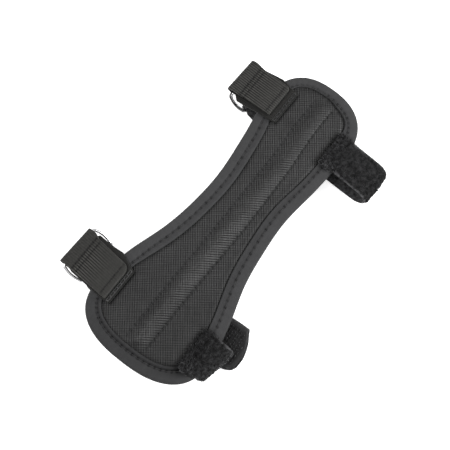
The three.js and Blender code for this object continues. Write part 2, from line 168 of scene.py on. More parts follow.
NARROW_TAB = SimpleNamespace(
    bar_y=43.3, bar_z=11.3, ring_x=68.0, ring_half=11.35, ring_painted_reflection=0.9,
    lift_y=26.0, row_y=38.6, lower_end_y=14.5, upper_end_y=19.0, end_x=67.4, end_width=19.6,
    fold_x=69.2, fold_width=19.8, fold_out=0.8, fold_skew=-0.4, fold_flare=0.6,
    flap_left=1.2, flap_right=0.2, flap_corner=2.0,
    under_left=[(14.5, 0.2), (20.0, 0.8), (26.0, 1.2), (32.0, 2.2), (38.5, 2.6)],
    under_right=[(14.5, -0.3), (19.0, 0.5), (26.0, 1.9), (33.0, 0.8), (37.0, 0.3)],
    clear_of_bar=3.6, left_clear_of_bar=1.6, bar_notch=0.5, ladder_tone=1.3,
    fold_ribs=0.7, end_ribs=0.6, side_ribs=1.0, rib_pitch=1.22,
    stitch_rows=[(38.9, 0.45, -0.9, 0.95), (36.1, 0.4, -0.9, 0.95), (21.6, 0.22, -0.9, 0.9)],
)

# Camera's bearing, which the panel's weave follows too
AZIMUTH = math.radians(-51.9)
ELEVATION = math.radians(77.0)


def smooth(low, high, value):
    """Eased share of the way from low to high, which may run downwards."""
    share = np.clip((value - low) / (high - low), 0, 1)
    return share * share * (3 - 2 * share)


def blend(a, b, share):
    return a + (b - a) * share


def bell(distance, width):
    return np.exp(-((distance / width) ** 2))


def to_nearest(value, pitch):
    """Distance from a value to the nearest whole step of a pitch."""
    return value - pitch * np.round(value / pitch)


def unit(vectors):
    return vectors / np.maximum(np.linalg.norm(vectors, axis=-1, keepdims=True), TINY)


def running(steps):
    """Length reached before the first step and after each one."""
    return np.concatenate([[0], np.cumsum(steps)])


def on_path(at, reach, points):
    """Points at given lengths along a path in X and Y."""
    return np.stack([np.interp(at, reach, points[:, k]) for k in range(2)], axis=1)


def cubic(at, knots, values, slopes):
    """Smooth curve through the values at the knots, with the slopes given there."""
    i = np.clip(np.searchsorted(knots, at, side="right") - 1, 0, len(knots) - 2)
    run = np.maximum(knots[i + 1] - knots[i], TINY)
    t = (at - knots[i]) / run
    near = (1 + 2 * t) * (1 - t) ** 2 * values[i] + t * (1 - t) ** 2 * run * slopes[i]
    return near + t * t * (3 - 2 * t) * values[i + 1] - t * t * (1 - t) * run * slopes[i + 1]


def lumps(a, b):
    """Uneven matted surface, from a few waves that don't repeat together."""
    first = np.sin(2.3 * a + 1.7 * np.sin(0.9 * b)) * np.sin(2.1 * b + 1.3 * np.sin(1.1 * a))
    second = np.sin(4.1 * a - 2.2 * b + 0.7) * np.sin(3.7 * b + 1.9 * a)
    return 0.6 * first + 0.4 * second


# The outline


def side_curve(values):
    """Smooth curve through one row of the side's sizes, level at both ends."""
    slopes = np.zeros(len(values))
    slopes[1:-1] = (values[2:] - values[:-2]) / (SIDE_X[2:] - SIDE_X[:-2])

    def at(x):
        return cubic(np.clip(x, SIDE_X[0], SIDE_X[-1]), SIDE_X, values, slopes)

    return at


half_at = side_curve(SIDE_HALF)
middle_at = side_curve(SIDE_MIDDLE)


def arch_z(y):
    """Height of the middle of the panel's thickness."""
    return CROWN_Z - (ARCH_RADIUS - np.sqrt(ARCH_RADIUS**2 - y * y))


def arch_normal(y):
    return unit(np.stack([np.zeros_like(y), y / ARCH_RADIUS, np.ones_like(y)], axis=1))


def ring_side(y):
    return smooth(0.0, SIDE_RUN, y)


def strap_side(y):
    return smooth(0.0, -SIDE_RUN, y)


def tape_width(x, y):
    """Width of the edge tape: more along the rings, and by the straps less at first and more at the wrist."""
    full = TAPE_WIDTH - TAPE_END_LOSS * smooth(*TAPE_LOSS_X, x)
    by_rings = TAPE_RING_GAIN * smooth(*TAPE_GAIN_START_X, x) * smooth(*TAPE_GAIN_STOP_X, x)
    loss = TAPE_STRAP_LOSS * bell(x - TAPE_STRAP_LOSS_AT_X, TAPE_STRAP_LOSS_RUN)
    by_straps = smooth(*TAPE_WRIST_X, x) - loss
    return full + by_rings * ring_side(y) + by_straps * strap_side(y)


def rib_half_width(x):
    return blend(RIB_HALF_WIDE, RIB_HALF_NARROW, smooth(*RIB_TAPER_X, x))


def rib_middle(x):
    """Where the middle of the rib lies from the middle of the panel."""
    return blend(RIB_SHIFT_WIDE, RIB_SHIFT_NARROW, smooth(*RIB_TAPER_X, x))


def outline_stations(inset, cap_steps, side_steps, tip_degrees):
    """Places along the guard from the wide tip to the narrow tip, with the half width at each."""
    turns = np.radians(np.linspace(tip_degrees, 90, cap_steps, endpoint=False))

    def cap(end, side):
        along = np.cos(turns) ** (2 / end.power)
        across = np.sin(turns) ** (2 / end.power)
        return end.centre_x + side * (end.reach - inset) * along, (end.half - inset) * across

    wide_x, wide_half = cap(WIDE_END, -1)
    narrow_x, narrow_half = cap(NARROW_END, 1)
    side_x = np.linspace(WIDE_END.centre_x, NARROW_END.centre_x, side_steps + 1)
    x = np.concatenate([wide_x, side_x, narrow_x[::-1]])
    half = np.concatenate([wide_half, half_at(side_x) - inset, narrow_half[::-1]])
    return x, half


def outline_loop(count):
    """Closed outline at equal steps, the direction inwards at each point, and the length all round."""
    x, half = outline_stations(inset=0, cap_steps=200, side_steps=300, tip_degrees=0)
    by_rings = np.stack([x, middle_at(x) + half], axis=1)
    by_straps = np.stack([x, middle_at(x) - half], axis=1)[-2:0:-1]
    loop = np.concatenate([by_rings, by_straps, by_rings[:1]])
    reach = running(np.linalg.norm(np.diff(loop, axis=0), axis=1))
    even = on_path(np.linspace(0, reach[-1], count, endpoint=False), reach, loop)
    along = unit(np.roll(even, -2, axis=0) - np.roll(even, 2, axis=0))
    inward = np.stack([along[:, 1], -along[:, 0]], axis=1)
    return even, inward, reach[-1]


def edge_distance(x, y, loop):
    """Distance from each point of a grid to the outline, and the nearest point's share of the way round."""
    least = np.empty_like(y)
    nearest = np.empty_like(y)
    for i in range(len(y)):
        gap = (x[i][:, None] - loop[None, :, 0]) ** 2 + (y[i][:, None] - loop[None, :, 1]) ** 2
        least[i] = np.sqrt(gap.min(axis=1))
        nearest[i] = gap.argmin(axis=1) / len(loop)
    return least, nearest


# Meshes


# Points and faces, and for each point its place on the cloth in millimetres and its tone.
# On the panel the third number of that place is the share of the rib's flank instead.
Skin = namedtuple("Skin", "points faces cloth tone")


def joined(skins):
    faces = []
    start = 0
    for skin in skins:
        faces.extend([[index + start for index in face] for face in skin.faces])
        start += len(skin.points)
    return Skin(
        np.concatenate([skin.points for skin in skins]),
        faces,
        np.concatenate([skin.cloth for skin in skins]),
        np.concatenate([skin.tone for skin in skins]),
    )


def grid_faces(rows, count, is_ring):
    """Quads over closed section loops of equal count, and a face over each open end."""
    spans = rows if is_ring else rows - 1
    here = np.arange(spans)[:, None] * count
    there = ((np.arange(spans)[:, None] + 1) % rows) * count
    k = np.arange(count)[None, :]
    k2 = (k + 1) % count
    faces = np.stack([here + k, there + k, there + k2, here + k2], axis=-1).reshape(-1, 4).tolist()
    if not is_ring:
        last = (rows - 1) * count
        faces.append(list(range(count)))
        faces.append(list(range(last + count - 1, last - 1, -1)))
    return faces


def section_skin(sections, cloth, tone, is_ring=False):
    """Skin over sections shaped (rows, points in a loop, 3), turned so that its faces look outwards."""
    rows, count, _ = sections.shape
    here, right, up = sections[:-1, :-1], sections[1:, :-1], sections[:-1, 1:]
    cross = np.cross(right - here, up - here)
    outwards = (cross * (here - sections[:-1].mean(axis=1, keepdims=True))).sum()
    faces = grid_faces(rows, count, is_ring)
    if outwards < 0:
        faces = [face[::-1] for face in faces]
    return Skin(sections.reshape(-1, 3), faces, cloth.reshape(-1, 3), tone.reshape(-1))


def fibre_skin(paths, radius, sides, tone):
    """Closed thin tubes along many short paths at once, shaped (fibres, steps, 3)."""
    count, steps, _ = paths.shape
    along = unit(np.gradient(paths, axis=1))
    off_axis = np.array([0.31, 0.57, 0.76])
    lead = unit(np.cross(along.mean(axis=1), off_axis))
    side = unit(np.cross(along, lead[:, None, :]))
    other = np.cross(along, side)
    turn = 2 * np.pi * np.arange(sides) / sides
    ring = side[:, :, None, :] * np.cos(turn)[:, None] + other[:, :, None, :] * np.sin(turn)[:, None]
    points = (paths[:, :, None, :] + np.asarray(radius)[:, None, None, None] * ring).reshape(-1, 3)
    base = np.arange(count)[:, None, None] * steps * sides
    here = base + np.arange(steps - 1)[None, :, None] * sides
    there = here + sides
    k = np.arange(sides)[None, None, :]
    k2 = (k + 1) % sides
    quads = np.stack([here + k, here + k2, there + k2, there + k], axis=-1)
    starts = (base[:, 0, :] + np.arange(sides)[::-1][None, :]).tolist()
    ends = (base[:, 0, :] + (steps - 1) * sides + np.arange(sides)[None, :]).tolist()
    faces = quads.reshape(-1, 4).tolist() + starts + ends
    return Skin(points, faces, points, np.repeat(np.asarray(tone, float), steps * sides))


def make_piece(name, skin, material, replaces=None):
    mesh = bpy.data.meshes.new(name)
    mesh.from_pydata(((skin.points + AXIS_SHIFT) * MM).tolist(), [], skin.faces)
    cloth = mesh.attributes.new("cloth", "FLOAT_VECTOR", "POINT")
    cloth.data.foreach_set("vector", skin.cloth.astype(np.float32).ravel())
    tone = mesh.attributes.new("tone", "FLOAT", "POINT")
    tone.data.foreach_set("value", skin.tone.astype(np.float32))
    mesh.polygons.foreach_set("use_smooth", np.ones(len(mesh.polygons), bool))
    mesh.materials.append(material)
    mesh.update()
    piece = bpy.data.objects.new(name, mesh)
    bpy.context.scene.collection.objects.link(piece)
    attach(piece, "root")
    if replaces:
        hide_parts(replaces)
    return piece


# Materials


class Nodes:
    """Short calls for the nodes of one material."""

    def __init__(self, name):
        self.material = bpy.data.materials.new(name)
        self.material.use_nodes = True
        self.tree = self.material.node_tree
        self.shader = self.tree.nodes["Principled BSDF"]

    def put(self, socket, value):
        if isinstance(value, bpy.types.NodeSocket):
            self.tree.links.new(value, socket)
        else:
            socket.default_value = value

    def node(self, kind, inputs, output=0, **settings):
        node = self.tree.nodes.new("ShaderNode" + kind)
        for name, value in settings.items():
            setattr(node, name, value)
        for key, value in inputs.items():
            self.put(node.inputs[key], value)
        return node.outputs[output]

    def math(self, operation, *values):
        return self.node("Math", dict(enumerate(values)), operation=operation)

    def attribute(self, name, output):
        return self.node("Attribute", {}, output, attribute_name=name)

    def cloth(self):
        return self.attribute("cloth", "Vector")

    def mapped(self, vector, scale, turn=0.0):
        return self.node("Mapping", {"Vector": vector, "Scale": scale, "Rotation": (0, 0, turn)})

    def split(self, vector):
        return [self.node("SeparateXYZ", {0: vector}, axis) for axis in "XYZ"]

    def noise(self, vector, scale, detail=2.0):
        return self.node("TexNoise", {"Vector": vector, "Scale": scale, "Detail": detail}, "Fac")

    def spread(self, value, source, target):
        """A value mapped from one range to another and held within it."""
        return self.node("MapRange", dict(enumerate((value, *source, *target))))

    def paint(self, colour, *shades):
        """One colour times every shade given and each point's tone, which carries painted light and shade as
        well as colour, into the shader's base colour.
        """
        shade = shades[0]
        for more in (*shades[1:], self.attribute("tone", "Fac")):
            shade = self.math("MULTIPLY", shade, more)
        painted = self.node("VectorMath", {0: colour, "Scale": shade}, operation="SCALE")
        self.put(self.shader.inputs["Base Color"], painted)

    def bump(self, height, distance, strength):
        bumped = self.node("Bump", {"Height": height, "Distance": distance, "Strength": strength})
        self.put(self.shader.inputs["Normal"], bumped)

    def finish(self, roughness, sheen=0.0, specular=0.5):
        self.put(self.shader.inputs["Roughness"], roughness)
        self.shader.inputs["Sheen Weight"].default_value = sheen
        self.shader.inputs["Sheen Roughness"].default_value = 0.45
        self.shader.inputs["Specular IOR Level"].default_value = specular
        return self.material


def weave(nodes, cloth, pitch_u, pitch_v):
    """Height of a plain weave, threads of each direction passing over and under the other."""
    u, v, _ = nodes.split(nodes.mapped(cloth, (math.pi / pitch_u, math.pi / pitch_v, 1)))
    wave_u = nodes.math("SINE", u)
    wave_v = nodes.math("SINE", v)
    over = nodes.math("MULTIPLY_ADD", nodes.math("MULTIPLY", wave_u, wave_v), 0.5, 0.5)
    under = nodes.math("SUBTRACT", 1.0, over)
    warp = nodes.math("MULTIPLY", nodes.math("ABSOLUTE", wave_u), over)
    weft = nodes.math("MULTIPLY", nodes.math("ABSOLUTE", wave_v), under)
    return nodes.math("MAXIMUM", warp, weft)


def thread_lines(nodes, cloth, pitch):
    """Height of threads in two directions, one or the other standing out from place to place,
    and mostly the second on the rib's flank, where the lines they shade into the colour are painted thread
    highlights."""
    u, v, flank = nodes.split(nodes.mapped(cloth, (math.pi / pitch, math.pi / pitch, 1)))
    waves = [nodes.math("ABSOLUTE", nodes.math("SINE", turn)) for turn in (u, v)]
    lines_u, lines_v = (nodes.spread(wave, (0.4, 0.85), (0.0, 1.0)) for wave in waves)
    mixed = nodes.spread(nodes.noise(cloth, 0.22), (0.4, 0.6), (0.44, 0.8))
    turned = nodes.mapped(cloth, (1, 1, 1), turn=1.1)
    patchy = nodes.spread(nodes.noise(turned, 0.16), (0.4, 0.6), (0.35, 1.05))
    favour = nodes.math("MULTIPLY_ADD", nodes.math("MULTIPLY", flank, patchy), -0.5, mixed)
    rest = nodes.math("SUBTRACT", 1.0, favour)
    height = nodes.math("MULTIPLY_ADD", lines_u, favour, nodes.math("MULTIPLY", lines_v, rest))
    turned_less = nodes.mapped(cloth, (1, 1, 1), turn=0.6)
    strength = nodes.spread(nodes.noise(turned_less, 0.35), (0.35, 0.65), (0.5, 1.0))
    mean_height = 0.64
    return nodes.math("MULTIPLY_ADD", nodes.math("SUBTRACT", height, mean_height), strength, mean_height)


def cloth_material():
    nodes = Nodes("woven_cloth")
    cloth = nodes.cloth()
    height = thread_lines(nodes, cloth, pitch=1.2)
    threads_u = nodes.noise(nodes.mapped(cloth, (1.2, 0.08, 1)), 1.0)
    threads_v = nodes.noise(nodes.mapped(cloth, (0.08, 1.2, 1)), 1.0)
    slub = nodes.spread(nodes.math("ADD", threads_u, threads_v), (0.75, 1.25), (0.7, 1.3))
    patches = nodes.spread(nodes.noise(cloth, 0.06), (0.3, 0.7), (0.95, 1.05))
    shade = nodes.spread(height, (0.15, 1.0), (0.0, 2.05))
    nodes.paint((0.0208, 0.0208, 0.0208), shade, slub, patches)
    nodes.bump(height, distance=0.00015, strength=0.4)
    return nodes.finish(nodes.spread(height, (0, 1), (0.6, 0.48)), sheen=0.05, specular=0.22)


def tape_material():
    nodes = Nodes("edge_binding")
    cloth = nodes.cloth()
    height = weave(nodes, cloth, pitch_u=0.42, pitch_v=0.42)
    patches = nodes.spread(nodes.noise(cloth, 0.25, 4.0), (0.3, 0.7), (0.94, 1.06))
    nodes.paint((0.040, 0.040, 0.041), nodes.spread(height, (0.1, 0.95), (0.9, 1.06)), patches)
    nodes.bump(height, distance=0.00004, strength=0.6)
    return nodes.finish(nodes.spread(patches, (0.9, 1.1), (0.9, 0.8)), sheen=0.04, specular=0.1)


def webbing_material():
    nodes = Nodes("ribbed_webbing")
    cloth = nodes.cloth()
    height = weave(nodes, cloth, pitch_u=0.36, pitch_v=0.5)
    patches = nodes.spread(nodes.noise(cloth, 0.4, 3.0), (0.3, 0.7), (0.9, 1.1))
    nodes.paint((0.0283, 0.0279, 0.026), nodes.spread(height, (0.1, 0.95), (0.78, 1.14)), patches)
    nodes.bump(height, distance=0.00006, strength=0.7)
    return nodes.finish(nodes.spread(height, (0, 1), (0.85, 0.7)), sheen=0.05, specular=0.2)


def pile_material():
    nodes = Nodes("loop_pile")
    cloth = nodes.cloth()
    tufts = nodes.noise(cloth, 0.55, 1.5)
    fuzz = nodes.noise(cloth, 3.0, 3.0)
    shade = nodes.spread(tufts, (0.36, 0.64), (0.45, 1.55))
    nodes.paint((0.0162, 0.0162, 0.0167), shade, nodes.spread(fuzz, (0.3, 0.7), (0.8, 1.2)))
    nodes.bump(nodes.math("MULTIPLY_ADD", fuzz, 0.5, tufts), distance=0.0003, strength=0.7)
    return nodes.finish(0.95, sheen=0.05, specular=0.12)


def hook_material():
    nodes = Nodes("hook_tape")
    cloth = nodes.cloth()
    height = weave(nodes, cloth, pitch_u=0.5, pitch_v=0.5)
    patches = nodes.spread(nodes.noise(cloth, 0.6, 3.0), (0.3, 0.7), (0.85, 1.15))
    nodes.paint((0.013, 0.013, 0.0135), patches)
    nodes.bump(height, distance=0.00008, strength=0.6)
    return nodes.finish(nodes.spread(patches, (0.85, 1.15), (0.7, 0.55)), specular=0.25)


def thread_material():
    nodes = Nodes("sewing_thread")
    twist = nodes.noise(nodes.mapped(nodes.cloth(), (2.5, 2.5, 2.5)), 2.0)
    nodes.paint((0.022, 0.022, 0.0225), nodes.spread(twist, (0.3, 0.7), (0.75, 1.25)))
    nodes.bump(twist, distance=0.00005, strength=0.6)
    return nodes.finish(0.75, sheen=0.04, specular=0.2)


def wire_material():
    nodes = Nodes("chrome_wire")
    cloth = nodes.cloth()
    smear = nodes.noise(cloth, 0.5, 4.0)
    nodes.paint((0.83, 0.83, 0.84), nodes.spread(smear, (0.3, 0.7), (0.92, 1.04)))
    nodes.bump(nodes.noise(cloth, 6.0, 2.0), distance=0.000008, strength=0.4)
    nodes.shader.inputs["Metallic"].default_value = 1.0
    return nodes.finish(nodes.spread(smear, (0.3, 0.7), (0.1, 0.2)))


# Panel


# Columns over half the rib and beside it, and the step between those that the underside keeps
RIB_COLUMNS = 25
SIDE_COLUMNS = 37
UNDERSIDE_STEP = 6
# Number of darker spots in the painted shade round the panel, where the stitches of the tape pull on it
EDGE_DOTS = 131
# Painted shade on the panel beside the tape, farther in on the straps' side, at the wide end and by the tabs,
# and painted light towards the wrist
EDGE_SHADE = SimpleNamespace(
    plain=0.42, by_rings=-0.12, by_wrist=0.1, by_both=-0.2, dots=0.2,
    run=0.9, reach=9.0, wrist_x=(50.0, 75.0),
)
STRAP_SIDE_SHADE = SimpleNamespace(depth=0.16, inset=2.0, run=1.6)
WIDE_END_SHADE = SimpleNamespace(depth=0.2, along_x=(-20.0, -50.0))
WRIST_LIGHT = SimpleNamespace(depth=0.06, along_x=(20.0, 55.0))
TAB_SHADE = SimpleNamespace(depth=0.6, run=0.9, out=0.3, wider=0.5, fade=0.6)
UNDERSIDE_TONE = 0.9
PANEL_SWAY = 0.06


def rib_rise(x, y):
    """Height of the rib over the panel and the tone it gives, with Y from the middle of the panel: painted
    light on its top, and painted shade on its strap-side flank towards the wrist, in its groove and in its
    stitch holes.
    """
    half = rib_half_width(x)
    side = y - rib_middle(x)
    away = np.abs(side)
    slope = np.sqrt((away / half) ** 2 + RIB_ROUND_TOP**2) - RIB_ROUND_TOP
    roof = np.maximum(0, 1 - slope / (math.sqrt(1 + RIB_ROUND_TOP**2) - RIB_ROUND_TOP))
    soft = 1 - smooth(0, 1, away / half)
    dome = np.where(side > 0, soft, roof)
    groove = bell(away - half, RIB_GROOVE_WIDTH) * np.where(side > 0, RIB_GROOVE_BY_RINGS, 1.0)
    from_hole = to_nearest(x - RIB_FROM_X, RIB_STITCH_PITCH)
    hole = bell(away - half, RIB_HOLE.across) * bell(from_hole, RIB_HOLE.along)
    start = smooth(RIB_FROM_X, RIB_FROM_X + RIB_FADE, x)
    stop = 1 - smooth(RIB_TO_X - RIB_FADE, RIB_TO_X, x)
    share = start * stop
    fallen = smooth(*RIB_FALL_X, x)
    full = blend(RIB_RISE_WIDE, RIB_RISE_NARROW, fallen)
    rise = share * (full * dome - RIB_GROOVE * groove - RIB_HOLE.depth * hole)
    # Painted light on the rib's top, less painted shade on its strap-side flank towards the wrist
    painted_light_and_shade = blend(RIB_PAINTED_LIGHT_WIDE, RIB_PAINTED_LIGHT_NARROW, fallen) * smooth(0.0, 0.6, dome)
    flank = smooth(1.5, -1.5, side) * smooth(0.0, 0.4, dome) * smooth(*RIB_FLANK_X, x)
    painted_light_and_shade = painted_light_and_shade - RIB_FLANK_SHADE * flank
    # The stitch holes and the groove are darkened with painted shade
    tone = 1 + share * (painted_light_and_shade - RIB_HOLE.tone * hole - RIB_GROOVE_SHADE * groove)
    return rise, tone


def tab_shade(x, y, tab):
    """Narrow painted shadow on the panel at the cut end of a tab, from 0 to 1."""
    inside = tab.end_width / 2 + TAB_SHADE.wider - np.abs(x - tab.end_x)
    along_end = smooth(-TAB_SHADE.fade, TAB_SHADE.fade, inside)
    return bell(y - tab.lower_end_y + TAB_SHADE.out, TAB_SHADE.run) * along_end


def panel_columns(x, half):
    """Places across the panel from its middle, close together over the rib and wider beside it."""
    rib_end = np.minimum(8.0, 0.36 * half)[:, None]
    shift = (rib_middle(x) * np.minimum(1, half / 20))[:, None]
    over_rib = np.linspace(0, 1, RIB_COLUMNS)[None, :]
    beside = np.linspace(0, 1, SIDE_COLUMNS)[None, 1:]

    def columns_on(side):
        edge = rib_end + side * shift
        over = over_rib * rib_end + side * shift
        return side * np.concatenate([over, edge + beside * (half[:, None] - edge)], axis=1)

    return np.concatenate([columns_on(-1)[:, :0:-1], columns_on(1)], axis=1)


def panel_tone(x, y, inside, round_share, rib_tone):
    """Tone of the cloth: painted shade beside the tape, at the wide end and at the cut ends of the tabs, and
    painted light towards the wrist.
    """
    dots = np.cos(2 * np.pi * round_share * EDGE_DOTS)
    by_rings = ring_side(y)
    by_wrist = smooth(*EDGE_SHADE.wrist_x, x)
    shade = EDGE_SHADE.plain + EDGE_SHADE.by_rings * by_rings + EDGE_SHADE.by_wrist * by_wrist
    shade = shade + EDGE_SHADE.by_both * by_rings * by_wrist + EDGE_SHADE.dots * dots
    near = np.minimum(inside, EDGE_SHADE.reach)
    farther_in = bell(near - STRAP_SIDE_SHADE.inset, STRAP_SIDE_SHADE.run) * strap_side(y)
    tone = rib_tone - shade * bell(near, EDGE_SHADE.run) - STRAP_SIDE_SHADE.depth * farther_in
    # Painted shade towards the wide end and painted light towards the wrist
    darker = WIDE_END_SHADE.depth * smooth(*WIDE_END_SHADE.along_x, x)
    lighter = WRIST_LIGHT.depth * smooth(*WRIST_LIGHT.along_x, x)
    tone = tone * (1 - darker + lighter)
    for tab in (WIDE_TAB, NARROW_TAB):
        tone = tone * (1 - TAB_SHADE.depth * tab_shade(x, y, tab))
    return tone


def flank_share(x, y):
    """Share of the rib's flank on the strap side, less at the wrist, with Y from the panel's middle."""
    side = y - rib_middle(x)
    flank = smooth(1.5, -1.0, side) * smooth(1.1, 0.8, -side / rib_half_width(x))
    return flank * blend(1.0, 0.65, smooth(30.0, 75.0, x))


def panel_skin():
    x, half = outline_stations(PANEL_INSET, cap_steps=80, side_steps=260, tip_degrees=4)
    columns = panel_columns(x, half)
    grid_x = np.broadcast_to(x[:, None], columns.shape)
    grid_y = middle_at(x)[:, None] + columns
    from_edge, round_share = edge_distance(grid_x, grid_y, outline_loop(1200)[0])
    inside = from_edge - tape_width(grid_x, grid_y)
    puff = smooth(0, PUFF_RUN, inside - PUFF_START)
    rise, rib_tone = rib_rise(grid_x, columns)
    waves = np.sin(grid_x * 0.21 + grid_y * 0.13) * np.sin(grid_y * 0.31 - grid_x * 0.05)
    thick = blend(PANEL_TUCK_HALF_THICK, PANEL_HALF_THICK, puff)
    top_z = arch_z(grid_y) + thick + rise + PANEL_SWAY * waves * puff
    bottom_z = arch_z(grid_y) - blend(PANEL_EDGE_HALF_THICK, PANEL_HALF_THICK, puff)

    def all_round(top, bottom):
        return np.concatenate([top, bottom[:, ::-UNDERSIDE_STEP]], axis=1)

    loop_x = all_round(grid_x, grid_x)
    loop_y = all_round(grid_y, grid_y)
    tone = panel_tone(grid_x, grid_y, inside, round_share, rib_tone)
    tone = all_round(tone, np.full(columns.shape, UNDERSIDE_TONE))
    flank = all_round(flank_share(grid_x, columns), np.zeros(columns.shape))
    cos, sin = math.cos(AZIMUTH), math.sin(AZIMUTH)
    sections = np.stack([loop_x, loop_y, all_round(top_z, bottom_z)], axis=-1)
    cloth = np.stack([loop_x * cos + loop_y * sin, loop_y * cos - loop_x * sin, flank], axis=-1)
    return section_skin(sections, cloth, tone)


def stitch_row(holes, normals, radius, rise, sink, tone=1.0, every=1):
    """Threads from hole to hole along a row, each arched over the cloth and sunk into its holes."""
    start, end = holes[:-1:every, None, :], holes[1::every, None, :]
    up = unit(normals[:-1:every] + normals[1::every])[:, None, :]
    share = np.linspace(0.02, 0.98, 7)[None, :, None]
    arch = np.sin(np.pi * share) ** 0.6
    paths = blend(start, end, share) + up * (arch * (rise + sink) - sink)
    return fibre_skin(paths, np.full(len(paths), radius), 6, np.full(len(paths), tone))


def rib_stitches():
    rows = []
    x = np.arange(RIB_FROM_X + RIB_STITCH_PITCH, RIB_TO_X - 2, RIB_STITCH_PITCH)
    for side in (-1, 1):
        y = middle_at(x) + rib_middle(x) + side * rib_half_width(x)
        holes = np.stack([x, y, arch_z(y) + PANEL_HALF_THICK - RIB_GROOVE], axis=1)
        rows.append(stitch_row(holes, arch_normal(y), radius=0.2, rise=0.16, sink=0.32, tone=1.2))
    return joined(rows)


# Edge tape


TAPE_LOOP, TAPE_INWARD, TAPE_LENGTH = outline_loop(900)
TAPE_STITCHES = round(TAPE_LENGTH / TAPE_STITCH_PITCH)


def tape_stitch_line(x, y):
    """Distance of the row of stitches from the tape's outer edge."""
    wide_end = smooth(*TAPE_LINE.wide_x, x)
    by_tab = TAPE_LINE.tab_gain * bell(x - TAPE_LINE.tab_x, TAPE_LINE.tab_run)
    by_rings = (TAPE_LINE.ring_gain * smooth(*TAPE_GAIN_STOP_X, x) + by_tab) * ring_side(y)
    line = TAPE_LINE.inset + TAPE_LINE.wide_gain * wide_end + by_rings * (1 - wide_end)
    return np.minimum(line, tape_width(x, y) - TAPE_LINE.margin)


def tape_profile(width):
    """Inset from the edge and lift from the middle, round the tape's whole U, and which points are on top."""
    inner = PANEL_EDGE_HALF_THICK + GAP
    outer = TAPE_HALF_THICK
    wall = PANEL_INSET - GAP
    lip = [(width, inner), (width, outer * 0.78), (width - 0.2, outer * 0.94)]
    top = [(blend(TAPE_ROUND, width - 0.55, share), outer) for share in np.linspace(1, 0, 17)]
    bend = []
    for turn in np.radians(np.linspace(90, -90, 15))[1:-1]:
        lift = math.copysign(abs(math.sin(turn)) ** 0.7, turn)
        bend.append((TAPE_ROUND * (1 - math.cos(turn) ** 0.9), outer * lift))
    under = [(blend(TAPE_ROUND, width - 0.3, share), -outer) for share in np.linspace(0, 1, 6)]
    inside = [
        (width, -outer * 0.9), (width, -inner), (width / 2, -inner),
        (wall, -inner), (wall, inner), (width / 2, inner),
    ]
    profile = np.array(lip + top + bend + under + inside)
    on_top = np.zeros(len(profile))
    on_top[len(lip) - 1:len(lip) + len(top)] = 1
    return profile[:, 0], profile[:, 1], on_top


def tape_tone(point, inward, inset, lift, width, line):
    """Tone of the tape without its stitches: darker inside their row, painted light where its edge faces the
    rings, painted shade where it faces the straps and the wide end, on the wall and by the wide strap.
    """
    x, y = point
    to_rings = max(0.0, -inward[1])
    to_straps = max(0.0, inward[1])
    to_wide_end = max(0.0, inward[0])
    # Painted light where the tape's edge faces the rings, painted shade where it faces the wide end
    turned = TAPE_TONE.to_rings * to_rings + TAPE_TONE.to_wide_end * to_wide_end
    margin = blend(TAPE_TONE.inside, TAPE_TONE.inside_wide_end, smooth(*TAPE_TONE.wide_x, x))
    tone = turned + blend(TAPE_TONE.outside, margin, smooth(line - 1.0, line + 1.0, inset))
    tone += (TAPE_TONE.lip - margin) * smooth(width - 1.6, width - 0.8, inset)
    # Painted shade on the outer rim where the edge faces the straps
    tone += TAPE_TONE.to_straps * to_straps * bell(inset, 1.2)
    # Painted shade inward by the wide strap; darker inward towards the wrist on the straps' side
    strap_shade = TAPE_TONE.strap_shade * bell(x + 76.0, 7.0) * smooth(-4.0, -14.0, y)
    by_wrist = TAPE_TONE.by_wrist * smooth(*TAPE_NARROW_END_X, x) * smooth(4.0, -4.0, y)
    # Painted shade on the tape's wall, more where it faces the rings
    on_wall = smooth(1.9, 0.6, lift) * (1 - smooth(0.5, 2.0, inset))
    shaded = TAPE_TONE.wall + TAPE_TONE.wall_to_rings * to_rings
    return tone - (strap_shade + by_wrist) * smooth(1.5, 5.0, inset) - shaded * on_wall


def tape_skin():
    sections, cloth, tone = [], [], []
    step = TAPE_LENGTH / len(TAPE_LOOP)
    pitch = TAPE_LENGTH / TAPE_STITCHES
    for i, (point, inward) in enumerate(zip(TAPE_LOOP, TAPE_INWARD)):
        width = float(tape_width(*point))
        line = float(tape_stitch_line(*point))
        inset, level, on_top = tape_profile(width)
        from_hole = to_nearest(i * step, pitch)
        index = round(i * step / pitch)
        uneven = 0.95 + 0.3 * math.sin(2.4 * index + 1.3 * math.sin(0.7 * index))
        faint = 1 - 0.7 * smooth(*TAPE_NARROW_END_X, point[0]) * smooth(-2.0, 6.0, point[1])
        channel = bell(inset - line, TAPE_CHANNEL.width) * on_top
        hole = bell(inset - line, TAPE_HOLE.across) * bell(from_hole, TAPE_HOLE.along) * on_top
        hole = faint * uneven * hole
        pucker = math.cos(2 * math.pi * from_hole / pitch) * on_top * smooth(0, 2.0, inset)
        lift = level - TAPE_CHANNEL.depth * channel - TAPE_HOLE.depth * hole - TAPE_PUCKER * pucker
        x = point[0] + inward[0] * inset
        y = point[1] + inward[1] * inset
        sections.append(np.stack([x, y, arch_z(y) + lift], axis=1))
        cloth.append(np.stack([inset, np.full(len(inset), i * step), lift], axis=1))
        plain = tape_tone(point, inward, inset, lift, width, line)
        # Painted shade in the channel and the holes of the row of stitches
        tone.append(np.maximum(TAPE_TONE.least, plain - TAPE_CHANNEL.tone * channel - hole))
    return section_skin(np.array(sections), np.array(cloth), np.array(tone), is_ring=True)


